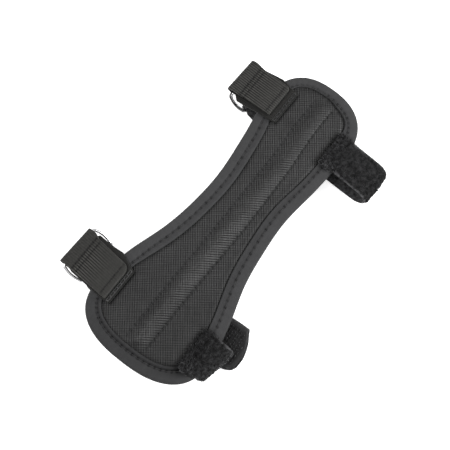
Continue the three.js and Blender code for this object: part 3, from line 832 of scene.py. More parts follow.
def tape_stitches():
    reach = np.linspace(0, TAPE_LENGTH, TAPE_STITCHES + 1)
    steps = np.arange(len(TAPE_LOOP) + 1) * TAPE_LENGTH / len(TAPE_LOOP)
    at = on_path(reach, steps, np.concatenate([TAPE_LOOP, TAPE_LOOP[:1]]))
    inward = on_path(reach, steps, np.concatenate([TAPE_INWARD, TAPE_INWARD[:1]]))
    place = at + inward * tape_stitch_line(at[:, 0], at[:, 1])[:, None]
    y = place[:, 1]
    holes = np.column_stack([place, arch_z(y) + TAPE_HALF_THICK - TAPE_CHANNEL.depth])
    return stitch_row(holes, arch_normal(y), radius=0.2, rise=0.1, sink=0.42, tone=1.3)


# Bands: tabs, straps and hook patches


def eased(reach, values, at):
    """Smooth curve through values that never swings past them."""
    run = np.maximum(np.diff(reach), TINY)
    rate = np.diff(values) / run
    near = 2 * run[1:] + run[:-1]
    far = run[1:] + 2 * run[:-1]
    with np.errstate(divide="ignore", invalid="ignore"):
        mean = (near + far) / (near / rate[:-1] + far / rate[1:])
    between = np.where(rate[:-1] * rate[1:] > 0, mean, 0)
    return cubic(at, reach, values, np.concatenate([rate[:1], between, rate[-1:]]))


class Band:
    """A flat band along a path in Y and Z, sampled evenly, with its middle, width and skew at each row."""

    def __init__(self, y, z, x, width, skew, step):
        columns = [np.array(column, float) for column in np.broadcast_arrays(y, z, x, width, skew)]
        reach = running(np.hypot(np.diff(columns[0]), np.diff(columns[1])))
        self.reach_at_row = reach
        self.length = reach[-1]
        self.s = np.linspace(0, self.length, max(3, round(self.length / step) + 1))
        self.y, self.z, self.x, self.width, self.skew = (eased(reach, column, self.s) for column in columns)
        self.along = unit(np.gradient(np.stack([self.y, self.z], axis=1), axis=0))

    def grid(self, shares):
        """Place along the band, share of the half width and place across it, for every row and share."""
        share = shares[None, :]
        return self.s[:, None], share, share * self.width[:, None] / 2

    def at(self, row, share, lift):
        """Points at a share of the half width and a lift from the middle, outwards where it is negative."""
        x = self.x[row] + share * self.width[row] / 2
        y = self.y[row] + self.skew[row] * share - self.along[row, 1] * lift
        z = self.z[row] + self.along[row, 0] * lift
        return np.stack([x, y, z], axis=-1)

    def row_of(self, s):
        """The row at a length along the band, never the first or the last."""
        return np.clip(np.searchsorted(self.s, s), 1, len(self.s) - 2)

    def along_at(self, row):
        """Direction of the path in space at each row."""
        return np.stack([np.zeros(len(row)), self.along[row, 0], self.along[row, 1]], axis=1)


# How far in the edge of a band is rounded, the share of its thickness left there,
# and what keeps the weave of the inner face apart from that of the outer face
BAND_EDGE_ROUND = 0.45
BAND_EDGE_SHARE = 0.4
INNER_FACE_CLOTH = 40.0


def band_skin(band, thick, shares, outer_relief, inner_relief, outer_tone, inner_tone, ragged=0.0):
    """Closed band with relief and tone on both faces. A ragged band has an uneven edge at its first end."""
    s, share, across = band.grid(shares)
    rows = np.arange(len(s))[:, None]
    from_edge = (1 - np.abs(share)) * band.width[rows] / 2
    rounding = np.sqrt(np.clip(1 - (1 - np.clip(from_edge / BAND_EDGE_ROUND, 0, 1)) ** 2, 0, 1))
    flat = thick / 2 * blend(BAND_EDGE_SHARE, 1.0, rounding)

    def both_faces(outer, inner):
        return np.concatenate([outer, inner[:, ::-1]], axis=1)

    outer = band.at(rows, share, -(flat + outer_relief))
    inner = band.at(rows, share, flat + inner_relief)
    sections = both_faces(outer, inner)
    if ragged:
        both = both_faces(share, share)
        near_end = np.exp(-s / 1.6)
        near_side = np.abs(both) ** 6 * np.exp(-s / 5.0)
        sections[..., 1] += ragged * near_end * lumps(both * 7.0, 1.0)
        sections[..., 0] += ragged * near_side * np.sign(both) * lumps(both, s * 0.9)
    along = np.broadcast_to(s, across.shape)
    outer_cloth = np.stack([across, along, np.zeros_like(across)], axis=-1)
    inner_cloth = np.stack([across, along, np.full_like(across, INNER_FACE_CLOTH)], axis=-1)
    return section_skin(sections, both_faces(outer_cloth, inner_cloth), both_faces(outer_tone, inner_tone))


def band_stitches(band, rows, shares, lift, radius=0.2, rise=0.14, tone=1.0, every=1):
    """Threads on the outer face of a band, through holes at the given rows and shares of the half width."""
    rows, shares = np.broadcast_arrays(rows, shares)
    holes = band.at(rows, shares, -lift)
    normals = unit(holes - band.at(rows, shares, 0.0))
    return stitch_row(holes, normals, radius, rise, sink=0.3, tone=tone, every=every)


# Webbing tabs


TAB_SHARES = np.linspace(-1, 1, 131)
TAB_STITCH_STEP = 2.3
TAB_KNOT_PITCH = 1.2
LEAF_STEPS = 90
FOLD_STEPS = 24
# The Y that stands for the whole fold, past the ring's bar
FOLD_PAST_BAR = 2.0
# The ladder of stitches that holds the lower leaf down: its two rows, from the cut end
LADDER_ROWS = (0.7, 2.0)
LADDER_SHARES = np.linspace(-0.93, 0.9, 15)


def tab_band(tab):
    """Path of the webbing: lower leaf out from the panel, round the ring's bar, upper leaf back."""
    rest = REST_LIFT + WEBBING_THICK / 2 + LEAF_OFFSET
    lift_z = arch_z(tab.lift_y) + rest
    slope = (tab.bar_z - lift_z) / (tab.bar_y - tab.lift_y)
    fall = math.atan(slope)

    def leaf(from_y, to_y, side):
        y = np.linspace(from_y, to_y, LEAF_STEPS)
        centre = np.where(y > tab.lift_y, lift_z + slope * (y - tab.lift_y), arch_z(y) + rest)
        spread = smooth(tab.row_y, tab.bar_y, y)
        away = side * blend(LEAF_OFFSET, FOLD_RADIUS, spread)
        share = smooth(tab.lower_end_y, tab.bar_y, y)
        x = blend(tab.end_x, tab.fold_x, share)
        width = blend(tab.end_width, tab.fold_width, share)
        out = y - away * math.sin(fall) + tab.fold_out * spread
        return np.stack([out, centre + away * math.cos(fall), x, width, tab.fold_skew * spread, y])

    turns = fall + np.radians(np.linspace(-90, 90, FOLD_STEPS + 1)[1:-1])
    fold_y = tab.bar_y + tab.fold_out + FOLD_RADIUS * np.cos(turns)
    fold_z = tab.bar_z + FOLD_RADIUS * np.sin(turns)
    fold_sizes = (tab.fold_x, tab.fold_width, tab.fold_skew, tab.bar_y + FOLD_PAST_BAR)
    fold = np.stack(np.broadcast_arrays(fold_y, fold_z, *fold_sizes))
    lower = leaf(tab.lower_end_y, tab.bar_y, -1)
    upper = leaf(tab.bar_y, tab.upper_end_y, 1)
    y, z, x, width, skew, flat_y = np.concatenate([lower, fold, upper], axis=1)
    band = Band(y, z, x, width, skew, step=0.33)
    band.flat_y = np.interp(band.s, band.reach_at_row, flat_y)
    band.is_upper = band.s > band.reach_at_row[LEAF_STEPS + FOLD_STEPS // 2 - 1]
    trim_tab(band, tab)
    return band


def trim_tab(band, tab):
    """Edges of the leaves: the flap set in and rounded, and the lower leaf showing beside it, partly as a
    dark strip put where the flap casts shade.
    """
    band.plain_x = band.x.copy()
    left = band.x - band.width / 2
    right = band.x + band.width / 2
    past_fold = smooth(tab.bar_y + FOLD_PAST_BAR, tab.lift_y, band.flat_y)
    past_rows = smooth(tab.row_y + 3, tab.row_y - 2, band.flat_y)
    clear_y = tab.bar_y - tab.clear_of_bar
    beside = smooth(clear_y, clear_y - 1.4, band.flat_y)
    left_clear_y = tab.bar_y - tab.left_clear_of_bar
    beside_left = smooth(left_clear_y, left_clear_y - 3.0, band.flat_y)
    apex = band.s[np.argmax(band.is_upper)]
    flare = tab.fold_flare * smooth(apex, apex + 1.5, band.s)
    notch = tab.bar_notch * (1 - beside) * smooth(apex - 0.5, apex - 2.9, band.s)
    under_left = np.interp(band.flat_y, *np.transpose(tab.under_left))
    under_right = np.interp(band.flat_y, *np.transpose(tab.under_right))
    left += np.where(band.is_upper, tab.flap_left * past_fold, -under_left * beside_left)
    right += np.where(band.is_upper, blend(flare, -tab.flap_right, past_rows), under_right * beside - notch)
    short = np.clip(tab.flap_corner - (band.length - band.s), 0, tab.flap_corner)
    right -= tab.flap_corner - np.sqrt(tab.flap_corner**2 - short**2)
    band.x = (left + right) / 2
    band.width = right - left


def tab_skin(band, tab):
    """Webbing with ribs along it, pinched by its rows of stitches."""
    s, share, across = band.grid(TAB_SHARES)
    flat_y = band.flat_y[:, None]
    is_upper = band.is_upper[:, None]
    holes = 0.75 + 0.25 * np.cos(2 * np.pi * across / TAB_STITCH_STEP)
    pinch = np.zeros(holes.shape)
    for place, depth, *_ in tab.stitch_rows:
        pinch += depth * holes * (bell(flat_y - place, 0.6) * is_upper)
    on_flap = smooth(tab.row_y + 1, tab.row_y - 2, flat_y)
    fading = blend(tab.end_ribs, 1.0, smooth(tab.upper_end_y + 7, tab.row_y - 3, flat_y))
    strength = blend(tab.fold_ribs, fading, on_flap)
    strength = strength * blend(1.0, tab.side_ribs, smooth(0.1, 0.8, share) * on_flap)
    place = across + (band.x - band.plain_x)[:, None]
    ridge = np.cos(2 * np.pi * place / tab.rib_pitch)
    index = np.round(place / tab.rib_pitch)
    knots = np.cos(2 * np.pi * s / TAB_KNOT_PITCH + np.pi * (index % 2))
    relief = strength * (0.1 * ridge + 0.05 * knots * (0.5 + 0.5 * ridge))

    ridge_tone = 1 - 2 * (0.5 - 0.5 * ridge) ** 2
    edge = smooth(0.93, 0.98, np.abs(share)) * is_upper
    cut = bell(band.length - s, 0.8)
    wear = 0.3 * bell(flat_y - tab.bar_y, 3.5) * lumps(across * 0.8, s * 0.8)
    # Painted shade on the lower leaf's outer face, under the flap
    under = 0.3 * ~is_upper
    plain = blend(1.08, 0.9, smooth(tab.upper_end_y + 5, tab.row_y - 8, flat_y))
    # Painted shade along the rows of stitches, where they pinch the webbing
    pinch_shade = 1.3 * np.minimum(pinch, 0.6)
    tone = plain + strength * ridge_tone - pinch_shade + 0.4 * edge + 0.5 * cut + wear - under
    # Inner face: painted shade where it lies under the flap, lighter where the lower leaf shows by its cut
    # end, and a painted shadow at that cut
    shown = bell(s, 4.0)
    cut_shadow = bell(s, 0.35)
    inner_tone = 0.45 + 0.35 * shown + 0.35 * shown * lumps(across * 1.3, s * 1.3) - 0.4 * cut_shadow
    return band_skin(band, WEBBING_THICK, TAB_SHARES, relief - pinch, relief - 0.05, tone, inner_tone)


def leaf_row(band, flat_y, is_upper):
    """The row nearest to a place along the tab on one of its leaves."""
    other_leaf = 100 * (band.is_upper != is_upper)
    return int(np.argmin(np.abs(band.flat_y - flat_y) + other_leaf))


def tab_stitches(band, tab):
    found = []
    for place, depth, first, last in tab.stitch_rows:
        shares = np.linspace(first, last, max(3, round((last - first) * 5)))
        row = leaf_row(band, place, True)
        lift = WEBBING_THICK / 2 - depth + 0.05
        found.append(band_stitches(band, row, shares, lift, radius=0.21, tone=0.6))
    ladder = [leaf_row(band, tab.lower_end_y + step, False) for step in LADDER_ROWS]
    lift = -WEBBING_THICK / 2
    for row in ladder:
        found.append(band_stitches(band, row, LADDER_SHARES, lift, radius=0.22, tone=tab.ladder_tone))
    rungs = np.repeat(LADDER_SHARES[::2], 2)
    rows = np.tile(ladder, len(rungs) // 2)
    found.append(band_stitches(band, rows, rungs, lift, radius=0.28, tone=1.4 * tab.ladder_tone, every=2))
    return joined(found)


# Wire rings


RING_STEPS = 13
WIRE_SIDES = 20


def far_bar_y(tab):
    return tab.bar_y - math.sqrt(RING_SPACING**2 - (tab.bar_z - FAR_BAR_Z) ** 2)


def ring_loop(ring_half):
    """Middle line of a flat ring, from a quarter of it: half a bar, a corner and half a bowed end."""
    half = RING_SPACING / 2
    straight = half - RING_CORNER
    corner_x = ring_half - RING_CORNER
    bar = np.stack([np.linspace(0, corner_x, RING_STEPS), np.full(RING_STEPS, half)], axis=1)
    turn = np.radians(np.linspace(0, 90, RING_STEPS))[1:]
    corner = np.stack([corner_x + RING_CORNER * np.sin(turn), straight + RING_CORNER * np.cos(turn)], axis=1)
    share = np.linspace(1, 0, RING_STEPS)[1:]
    end = np.stack([ring_half + RING_BULGE * (1 - share**2), share * straight], axis=1)
    quarter = np.concatenate([bar, corner, end])
    return np.concatenate([
        quarter, (quarter * [1, -1])[-2::-1], (quarter * [-1, -1])[1:], (quarter * [-1, 1])[-2:0:-1],
    ])


def ring_skin(tab):
    far = np.array([tab.ring_x, far_bar_y(tab), FAR_BAR_Z])
    near = np.array([tab.ring_x, tab.bar_y, tab.bar_z])
    across_bars = unit(near - far)
    facing = np.cross(X_AXIS, across_bars)
    loop = ring_loop(tab.ring_half)
    tangent = unit(np.roll(loop, -1, axis=0) - np.roll(loop, 1, axis=0))
    sides = np.radians(np.arange(WIRE_SIDES) * 360 / WIRE_SIDES)
    out = WIRE_RADIUS * np.cos(sides)[None, :]
    x = (loop[:, :1] + tangent[:, 1:] * out)[..., None]
    across = (loop[:, 1:] - tangent[:, :1] * out)[..., None]
    lift = (WIRE_RADIUS * np.sin(sides))[None, :, None]
    sections = (far + near) / 2 + x * X_AXIS + across * across_bars + lift * facing
    facing_out = -np.cos(sides)
    # Painted dark reflection on the chrome wire: over its outer side, and as a thin line at its inner edge
    dark_reflection = tab.ring_painted_reflection * (smooth(0.2, 0.5, facing_out) + 0.7 * smooth(0.78, 0.92, -facing_out))
    tone = np.broadcast_to(1 - dark_reflection, sections.shape[:2])
    return section_skin(sections, sections, tone, is_ring=True)


# Straps


EDGE_SHARES = np.array([0.93, 0.96, 0.985, 1])
STRAP_SHARES = np.concatenate([-EDGE_SHARES[::-1], np.linspace(-0.9, 0.9, 41), EDGE_SHARES])
STRAP_KNOT_PITCH = 1.25
SELVEDGE = 1.1
# Where along a strap its selvedge opens, and where its matted sewn end turns into the free strap
SELVEDGE_S = (5.0, 10.0)
FREE_S = (4.0, 13.0)
FREE_TONE = 1.3
FREE_SWAY = 0.35
SELVEDGE_TONE = 3.0
STRAY_SIZE = 1.5
PILE_SUNK = 0.25
# How far a loop of pile keeps from the selvedge, and how far it follows the tufts of the bend
LOOP_CLEARANCE = 0.5
LOOP_FOLLOWS = 0.9
# Height of the tufts on a strap's bend, strength of the painted highlight line along its crest, and how far
# each spreads along it
CREST = SimpleNamespace(tufts=1.1, tuft_run=3.0, line_highlight=1.4, line_run=0.9, bend_run=4.5)
# Box of stitches at the sewn end of a strap: from and to along it, and the share of its half width
BOX_FROM = 1.6
BOX_TO = 8.4
BOX_SHARE = 0.8
NARROW_BEND_RADIUS = 5.5
NARROW_BEND_Y = -46.4
NARROW_BEND_STEPS = 24


# Ranges that loops of pile, loose curls and frayed fibres are drawn from
LOOP = SimpleNamespace(
    turn=(0, 2 * np.pi), length=(1.2, 3.2), height=(0.3, 0.8), curl=(-1.6, 1.6),
    radius=(0.1, 0.22), tone=(0.8, 1.3),
)
CURL = SimpleNamespace(
    s=(0.2, 6.0), share=(-1.06, -0.6), lift=(-0.3, 0.3), size=(0.6, 1.5), turn=(0, 2 * np.pi),
    radius=(0.12, 0.2), tone=(1.0, 3.4),
)
FRAY = SimpleNamespace(lift=(-0.5, 0.4), drift=0.6, length=(0.35, 1.0), radius=(0.07, 0.13), tone=(0.6, 1.5))


def drawn(limits, count):
    return RANDOM.uniform(*limits, count)


def arc(y, z, radius, start, end, steps):
    turn = np.radians(np.linspace(start, end, steps + 1))
    return y + radius * np.cos(turn), z + radius * np.sin(turn)


def sewn_rows(x, width, places):
    """Rows of a strap where it lies on the guard."""
    return [(y, arch_z(y) + REST_LIFT + STRAP_THICK / 2, x, width, 0.0) for y in places]


def level_rows(z, places):
    """Rows of a strap at one height, from the Y, X and width of each."""
    return [(y, z, x, width, 0.0) for y, x, width in places]


def rows_round_bar(tab, x, width):
    y, z = arc(far_bar_y(tab), FAR_BAR_Z, WRAP_RADIUS, 90, -90, 16)
    return [(a, b, x, width, 0.0) for a, b in zip(y, z)]


def wide_strap_rows():
    """Y, Z, X, width and skew along the wide strap, from its sewn end to the tip of its tail."""
    bend = [
        (-34.0, 13.4, -59.5, 23.0, -0.8), (-36.7, 12.1, -59.4, 22.7, -1.5), (-38.3, 10.4, -59.3, 22.2, -2.0),
        (-38.7, 8.3, -59.2, 21.8, -2.1), (-38.2, 6.5, -59.1, 22.2, -2.0), (-36.6, 5.2, -59.0, 22.7, -1.5),
        (-34.0, STRAND_Z, -58.9, 23.0, -0.8),
    ]
    strand = level_rows(STRAND_Z, [(-28.0, -58.7, 23.0), (0.0, -57.6, 23.0), (37.5, -56.6, 23.0)])
    tail = level_rows(TAIL_Z, [
        (34.0, -54.4, 23.4), (0.0, -50.5, 24.0), (-40.0, -45.5, 24.7), (-40.3, -45.6, 24.5),
        (-41.1, -46.3, 23.0), (-42.0, -46.9, 21.2), (-43.9, -47.9, 17.4), (-45.7, -49.3, 11.6),
        (-46.7, -50.0, 5.5),
    ])
    sewn = sewn_rows(-59.7, 23.0, (-24.8, -28.0, -31.0))
    return sewn + bend + strand + rows_round_bar(WIDE_TAB, -55.4, 21.2) + tail


def narrow_strap_rows():
    """Y, Z, X, width and skew along the narrow strap, from its sewn end to the end of its tail."""
    radius = NARROW_BEND_RADIUS
    bend_y, bend_z = arc(NARROW_BEND_Y + radius, STRAND_Z + radius, radius, 90, 270, NARROW_BEND_STEPS)
    share = np.arange(NARROW_BEND_STEPS + 1) / NARROW_BEND_STEPS
    bend = list(zip(bend_y, bend_z, blend(64.5, 63.1, share), blend(19.2, 19.8, share), 0.0 * share))
    strand = level_rows(STRAND_Z, [
        (-30.0, 63.2, 19.8), (8.0, 64.6, 19.4), (24.0, 65.6, 19.6), (30.6, 66.0, 20.0),
    ])
    tail = level_rows(TAIL_Z, [(29.0, 66.4, 19.4), (20.0, 65.6, 19.4), (-16.0, 64.2, 19.2)])
    sewn = sewn_rows(64.8, 19.2, (-16.5, -19.5, -22.5))
    return sewn + bend + strand + rows_round_bar(NARROW_TAB, 67.7, 19.0) + tail


# crest_at: where along the strap its bend stands out most. stray_s: where its strays start and stop.
WIDE_STRAP = SimpleNamespace(
    rows=wide_strap_rows(), crest_at=16.6, sewn_tone=0.9, bend_highlight=1.3, shown_to=26.0,
    loops_shown=2600, loops_hidden=500, frays=240, fray_reach=1.7, stray_s=(12.0, 19.0), strays=260, curls=60,
)
NARROW_STRAP = SimpleNamespace(
    rows=narrow_strap_rows(), crest_at=34.0, sewn_tone=1.25, bend_highlight=0.0, shown_to=42.0,
    loops_shown=3000, loops_hidden=450, frays=200, fray_reach=1.5, stray_s=(26.0, 36.0), strays=260, curls=40,
)


def on_stitch_box(s, across, width):
    """How near a place on a strap is to its box of stitches, from 0 to 1."""
    beyond = np.abs(across) - BOX_SHARE * width / 2
    beside_s = np.maximum(0, np.maximum(BOX_FROM - s, s - BOX_TO))
    ends = np.hypot(np.minimum(np.abs(s - BOX_FROM), np.abs(s - BOX_TO)), np.maximum(0, beyond))
    sides = np.hypot(beyond, beside_s)
    return bell(np.minimum(ends, sides), 0.55)


def bend_tufts(strap, s, across):
    """Uneven matting of the pile round the crest of a strap's bend, in millimetres."""
    return CREST.tufts * bell(s - strap.crest_at, CREST.tuft_run) * lumps(across * 1.1 + 0.4, s * 0.7)


def crest_highlight(strap, s, share):
    """Painted highlight over a strap's bend, and as a lighter line along its crest at the side towards the
    wrist.
    """
    line = CREST.line_highlight * bell(s - strap.crest_at, CREST.line_run) * smooth(-0.1, 0.5, share)
    return line + strap.bend_highlight * bell(s - strap.crest_at, CREST.bend_run)


def clump_tone(strap, s, across, sewn_sway):
    """Tone of the pile in clumps, which differ more on the sewn end than on the free strap."""
    free = smooth(*FREE_S, s)
    return blend(strap.sewn_tone, FREE_TONE, free) + blend(sewn_sway, FREE_SWAY, free) * lumps(across, s)


def strap_base(band, strap):
    """Strap with a matted pile on its outer face and a bare selvedge at each side of its free part."""
    s, share, across = band.grid(STRAP_SHARES)
    width = band.width[:, None]
    bare = SELVEDGE * smooth(*SELVEDGE_S, s)
    pile = smooth(bare * 0.7, bare * 1.3 + 0.01, (1 - np.abs(share)) * width / 2)
    tufts = 0.22 + 0.2 * lumps(across, s) + bend_tufts(strap, s, across)
    # Box of stitches: sunk into the pile, and darkened there with painted shade in the tone
    box = on_stitch_box(s, across, width)
    relief = -PILE_SUNK + pile * tufts - 0.2 * box
    clump = clump_tone(strap, s, across, sewn_sway=0.9)
    # The bend and its crest carry a painted highlight
    tone = (blend(SELVEDGE_TONE, clump, pile) + crest_highlight(strap, s, share)) * (1 - 0.5 * box)
    turn = 2 * np.pi / STRAP_KNOT_PITCH
    knots = np.cos(turn * across) * np.cos(turn * s)
    inner_relief = -0.08 + 0.07 * knots
    # Inner face: its weave's knots, on a tone raised as painted light against the shade it lies in inside the
    # loop
    inner_tone = 2.4 + 1.4 * knots
    return band_skin(band, STRAP_THICK, STRAP_SHARES, relief, inner_relief, tone, inner_tone, ragged=1.5)


def pile_loops(band, strap, start, end, count, size):
    """Curled loops of pile standing on the outer face between two places along a strap."""
    s = RANDOM.uniform(start, end, count)
    row = band.row_of(s)
    bare = (SELVEDGE + LOOP_CLEARANCE) * smooth(*SELVEDGE_S, s)
    share = RANDOM.uniform(-1, 1, count) * (1 - bare / (band.width[row] / 2))
    place = share * band.width[row] / 2
    lift = STRAP_THICK / 2 - PILE_SUNK + LOOP_FOLLOWS * bend_tufts(strap, s, place)
    foot = band.at(row, share, -lift)
    normal = unit(band.at(row, share, -1.0) - band.at(row, share, 0.0))
    along = band.along_at(row)
    turn = drawn(LOOP.turn, count)[:, None]
    lead = along * np.cos(turn) + np.cross(along, normal) * np.sin(turn)
    side = np.cross(normal, lead)
    length = drawn(LOOP.length, count)[:, None] * size
    height = drawn(LOOP.height, count)[:, None] * size
    curl = drawn(LOOP.curl, count)[:, None] * size
    t = np.linspace(0, 1, 6)[None, :, None]
    rise = np.sin(np.pi * t) ** 0.8
    sweep = np.sin(2 * np.pi * t) * 0.5 + t * (1 - t) * 2
    paths = foot[:, None] + (lead * length)[:, None] * (t - 0.5)
    paths = paths + (normal * height)[:, None] * rise + (side * curl)[:, None] * sweep
    radius = drawn(LOOP.radius, count)
    # Loops on the bend share its painted highlight
    tone = clump_tone(strap, s, place, sewn_sway=1.0) + crest_highlight(strap, s, share)
    return fibre_skin(paths, radius, 3, tone * drawn(LOOP.tone, count))


def corner_curls(band, count):
    """Loose curls at the corner of the sewn end that lies towards the wide end of the guard."""
    row = band.row_of(drawn(CURL.s, count))
    share = drawn(CURL.share, count)
    foot = band.at(row, share, -(STRAP_THICK / 2 + drawn(CURL.lift, count)))
    size = drawn(CURL.size, count)[:, None]
    turn = np.linspace(0, 1.6 * np.pi, 9)[None, :] + drawn(CURL.turn, count)[:, None]
    lift = 0.25 * np.sin(np.linspace(0, np.pi, 9))[None, :]
    paths = foot[:, None, :] + np.stack([size * np.cos(turn), size * np.sin(turn), size * lift], axis=-1)
    return fibre_skin(paths, drawn(CURL.radius, count), 4, drawn(CURL.tone, count))


def frayed_end(band, count, reach):
    """Loose fibre ends along the cut end at the start of a band."""
    share = RANDOM.uniform(-1, 1, count)
    rows = np.zeros(count, int)
    foot = band.at(rows, share, drawn(FRAY.lift, count))
    drift = RANDOM.normal(0, FRAY.drift, (count, 3))
    length = drawn(FRAY.length, count)[:, None, None] * reach
    t = np.linspace(0, 1, 5)[None, :, None]
    paths = foot[:, None] + (drift[:, None] * t**2 - band.along_at(rows)[:, None] * t) * length
    return fibre_skin(paths, drawn(FRAY.radius, count), 3, drawn(FRAY.tone, count) ** 2)


def strap_skin(band, strap):
    """Whole strap: the tape, loops that are small where hidden, long strays on the bend, and loose ends."""
    hidden_to = band.length - 0.5
    return joined([
        strap_base(band, strap),
        pile_loops(band, strap, 0.1, strap.shown_to, strap.loops_shown, size=1.0),
        pile_loops(band, strap, strap.shown_to, hidden_to, strap.loops_hidden, size=0.5),
        frayed_end(band, strap.frays, strap.fray_reach),
        pile_loops(band, strap, *strap.stray_s, strap.strays, size=STRAY_SIZE),
        corner_curls(band, strap.curls),
    ])


def box_stitches(band):
    """Threads round the box of stitches at the sewn end of a strap."""
    across = np.linspace(-BOX_SHARE, BOX_SHARE, 9)
    down = np.linspace(BOX_FROM, BOX_TO, 4)
    s = np.concatenate([np.full(8, BOX_FROM), down[:-1], np.full(8, BOX_TO), down[:0:-1], [BOX_FROM]])
    share = np.concatenate([across[:-1], np.full(3, BOX_SHARE), across[:0:-1], np.full(4, -BOX_SHARE)])
    return band_stitches(band, np.searchsorted(band.s, s), share, STRAP_THICK / 2 - 0.1, rise=0.2)


# Hook patches


# Y, X and width along each patch, from its straight end to its tip
WIDE_PATCH = SimpleNamespace(pitch=1.5, rows=[
    (-14.0, -48.9, 22.6), (-39.5, -45.6, 23.1), (-40.6, -46.3, 21.5), (-41.6, -46.9, 19.6),
    (-43.2, -47.8, 16.2), (-44.9, -49.2, 10.8), (-45.8, -49.9, 5.0),
])
NARROW_PATCH = SimpleNamespace(pitch=1.6, rows=[(10.0, 65.3, 18.0), (-15.4, 64.2, 18.0)])
PATCH_SHARES = np.linspace(-1, 1, 33)
PATCH_SUNK = 0.28
PATCH_RIM = 2.2
HOOK_STEP = 1.5
HOOK_SHAPE = np.array([(0, 0), (0.02, 0.32), (0.16, 0.58), (0.4, 0.62), (0.56, 0.44), (0.55, 0.26)])


def hook_spots(band, pitch):
    """Row and share of the half width of every hook, in staggered lines that keep clear of the rim."""
    spots = []
    for index, s in enumerate(np.arange(pitch, band.length - PATCH_RIM, pitch)):
        row = int(band.row_of(s))
        half = band.width[row] / 2
        across = np.arange(-half + 1.2, half - 1.1, HOOK_STEP) + (HOOK_STEP / 2 if index % 2 else 0.0)
        across = across[np.abs(across) < half - PATCH_RIM]
        across = across + RANDOM.uniform(-0.5, 0.5, len(across))
        spots.append(np.stack([np.full(len(across), row), across / half], axis=1))
    rows, shares = np.concatenate(spots).T
    return rows.astype(int), shares


def patch_skin(patch):
    """Patch of hook tape with a plain paler rim and rows of hooks."""
    y, x, width = np.array(patch.rows).T
    band = Band(y, PATCH_Z, x, width, skew=0.0, step=0.5)
    s, _, across = band.grid(PATCH_SHARES)
    inside = np.minimum(band.width[:, None] / 2 - np.abs(across), band.length - s)
    tone = blend(1.25, 0.5, smooth(PATCH_RIM - 0.8, PATCH_RIM, inside))
    base = band_skin(band, PATCH_THICK, PATCH_SHARES, -PATCH_SUNK, -PATCH_SUNK, tone, tone)
    row, share = hook_spots(band, patch.pitch)
    count = len(row)
    foot = band.at(row, share, -(PATCH_THICK / 2 - 0.3))
    turn = RANDOM.normal(0, 0.5, count) + np.where(RANDOM.random(count) > 0.5, 0, np.pi)
    lead = np.stack([np.cos(turn), np.sin(turn), np.zeros(count)], axis=1)
    paths = foot[:, None, :] + lead[:, None, :] * HOOK_SHAPE[None, :, :1] + Z_AXIS * HOOK_SHAPE[None, :, 1:]
    return joined([base, fibre_skin(paths, np.full(count, 0.22), 5, RANDOM.uniform(0.6, 4.4, count))])


# Pieces


CLOTH = cloth_material()
TAPE = tape_material()
WEBBING = webbing_material()
PILE = pile_material()
HOOK = hook_material()
THREAD = thread_material()
WIRE = wire_material()

panel = make_piece("panel_cloth", panel_skin(), CLOTH, "panel")
make_piece("rib_stitching", rib_stitches(), THREAD)
make_piece("edge_binding", tape_skin(), TAPE, "edge_tape")
make_piece("binding_stitching", tape_stitches(), THREAD)
for end, tab in (("wide", WIDE_TAB), ("narrow", NARROW_TAB)):
    tab_path = tab_band(tab)
    make_piece(f"tab_{end}_webbing", tab_skin(tab_path, tab), WEBBING, f"tab_{end}")
    make_piece(f"tab_{end}_stitching", tab_stitches(tab_path, tab), THREAD)
for end, tab in (("wide", WIDE_TAB), ("narrow", NARROW_TAB)):
    make_piece(f"ring_{end}_wire", ring_skin(tab), WIRE, f"ring_{end}")
for end, strap in (("wide", WIDE_STRAP), ("narrow", NARROW_STRAP)):
    strap_path = Band(*np.array(strap.rows).T, step=0.55)
    make_piece(f"strap_{end}_tape", strap_skin(strap_path, strap), PILE, f"strap_{end}")
    make_piece(f"strap_{end}_stitching", box_stitches(strap_path), THREAD)
for end, patch in (("wide", WIDE_PATCH), ("narrow", NARROW_PATCH)):
    make_piece(f"hook_patch_{end}_tape", patch_skin(patch), HOOK, f"hook_patch_{end}")


# Floor, light and camera, in metres


FLOOR_REACH = 4.0
FLOOR_Z = -0.0002
CAMERA_DISTANCE = 0.6
CAMERA_LENS = 93.94
CAMERA_SENSOR = 36.0
# The point that the camera looks at, and how far the picture is moved from it to the right and up
CAMERA_TARGET = Vector((-0.0018, -0.00492, 0.014))
SHIFT_RIGHT = -0.00164
SHIFT_UP = 0.00102
BACK = Vector((
    math.sin(AZIMUTH) * math.cos(ELEVATION), -math.cos(AZIMUTH) * math.cos(ELEVATION), math.sin(ELEVATION),
))
RIGHT = Vector((math.cos(AZIMUTH), math.sin(AZIMUTH), 0))
UP = BACK.cross(RIGHT)


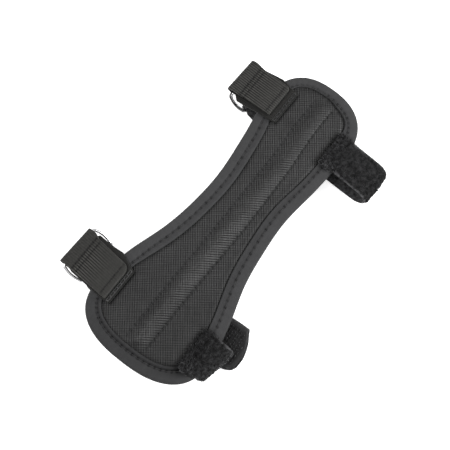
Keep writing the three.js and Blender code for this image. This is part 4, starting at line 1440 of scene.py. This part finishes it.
def make_floor():
    mesh = bpy.data.meshes.new("floor")
    corners = [(x * FLOOR_REACH, y * FLOOR_REACH, 0) for x, y in ((-1, -1), (1, -1), (1, 1), (-1, 1))]
    mesh.from_pydata(corners, [], [(0, 1, 2, 3)])
    nodes = Nodes("floor_white")
    nodes.shader.inputs["Base Color"].default_value = (0.9, 0.9, 0.9, 1)
    nodes.shader.inputs["Roughness"].default_value = 0.9
    nodes.shader.inputs["Emission Color"].default_value = (1, 1, 1, 1)
    nodes.shader.inputs["Emission Strength"].default_value = 0.7
    mesh.materials.append(nodes.material)
    floor = bpy.data.objects.new("floor", mesh)
    floor.location.z = FLOOR_Z
    bpy.context.scene.collection.objects.link(floor)


def make_light(name, direction, distance, size, power):
    data = bpy.data.lights.new(name, "AREA")
    data.shape = "DISK"
    data.size = size
    data.energy = power
    lamp = bpy.data.objects.new(name, data)
    away = direction.normalized()
    lamp.location = away * distance
    lamp.rotation_mode = "QUATERNION"
    lamp.rotation_quaternion = away.to_track_quat("Z", "Y")
    bpy.context.scene.collection.objects.link(lamp)


def make_lights():
    level = Vector((0, 0, 1))
    make_light("key", RIGHT * 0.85 + level * 0.53, distance=0.75, size=0.34, power=5.0)
    make_light("overhead", level - RIGHT * 0.7, distance=1.4, size=1.6, power=12)
    world = bpy.data.worlds.new("studio")
    world.use_nodes = True
    tree = world.node_tree
    background = tree.nodes["Background"]
    background.inputs["Strength"].default_value = 0.8
    place = tree.nodes.new("ShaderNodeTexCoord")
    height = tree.nodes.new("ShaderNodeSeparateXYZ")
    ramp = tree.nodes.new("ShaderNodeValToRGB")
    low, high = ramp.color_ramp.elements
    low.position = 0.05
    low.color = (0.02, 0.02, 0.02, 1)
    high.position = 0.75
    high.color = (1, 1, 1, 1)
    tree.links.new(place.outputs["Generated"], height.inputs[0])
    tree.links.new(height.outputs["Z"], ramp.inputs[0])
    tree.links.new(ramp.outputs["Color"], background.inputs["Color"])
    bpy.context.scene.world = world


def make_camera():
    data = bpy.data.cameras.new("camera")
    data.sensor_width = CAMERA_SENSOR
    data.lens = CAMERA_LENS
    data.clip_start = 0.01
    camera = bpy.data.objects.new("camera", data)
    camera.location = CAMERA_TARGET + RIGHT * SHIFT_RIGHT + UP * SHIFT_UP + BACK * CAMERA_DISTANCE
    camera.rotation_mode = "QUATERNION"
    camera.rotation_quaternion = (-BACK).to_track_quat("-Z", "Y")
    bpy.context.scene.collection.objects.link(camera)
    bpy.context.scene.camera = camera


make_floor()
make_lights()
make_camera()
bpy.context.scene.view_settings.view_transform = "Standard"
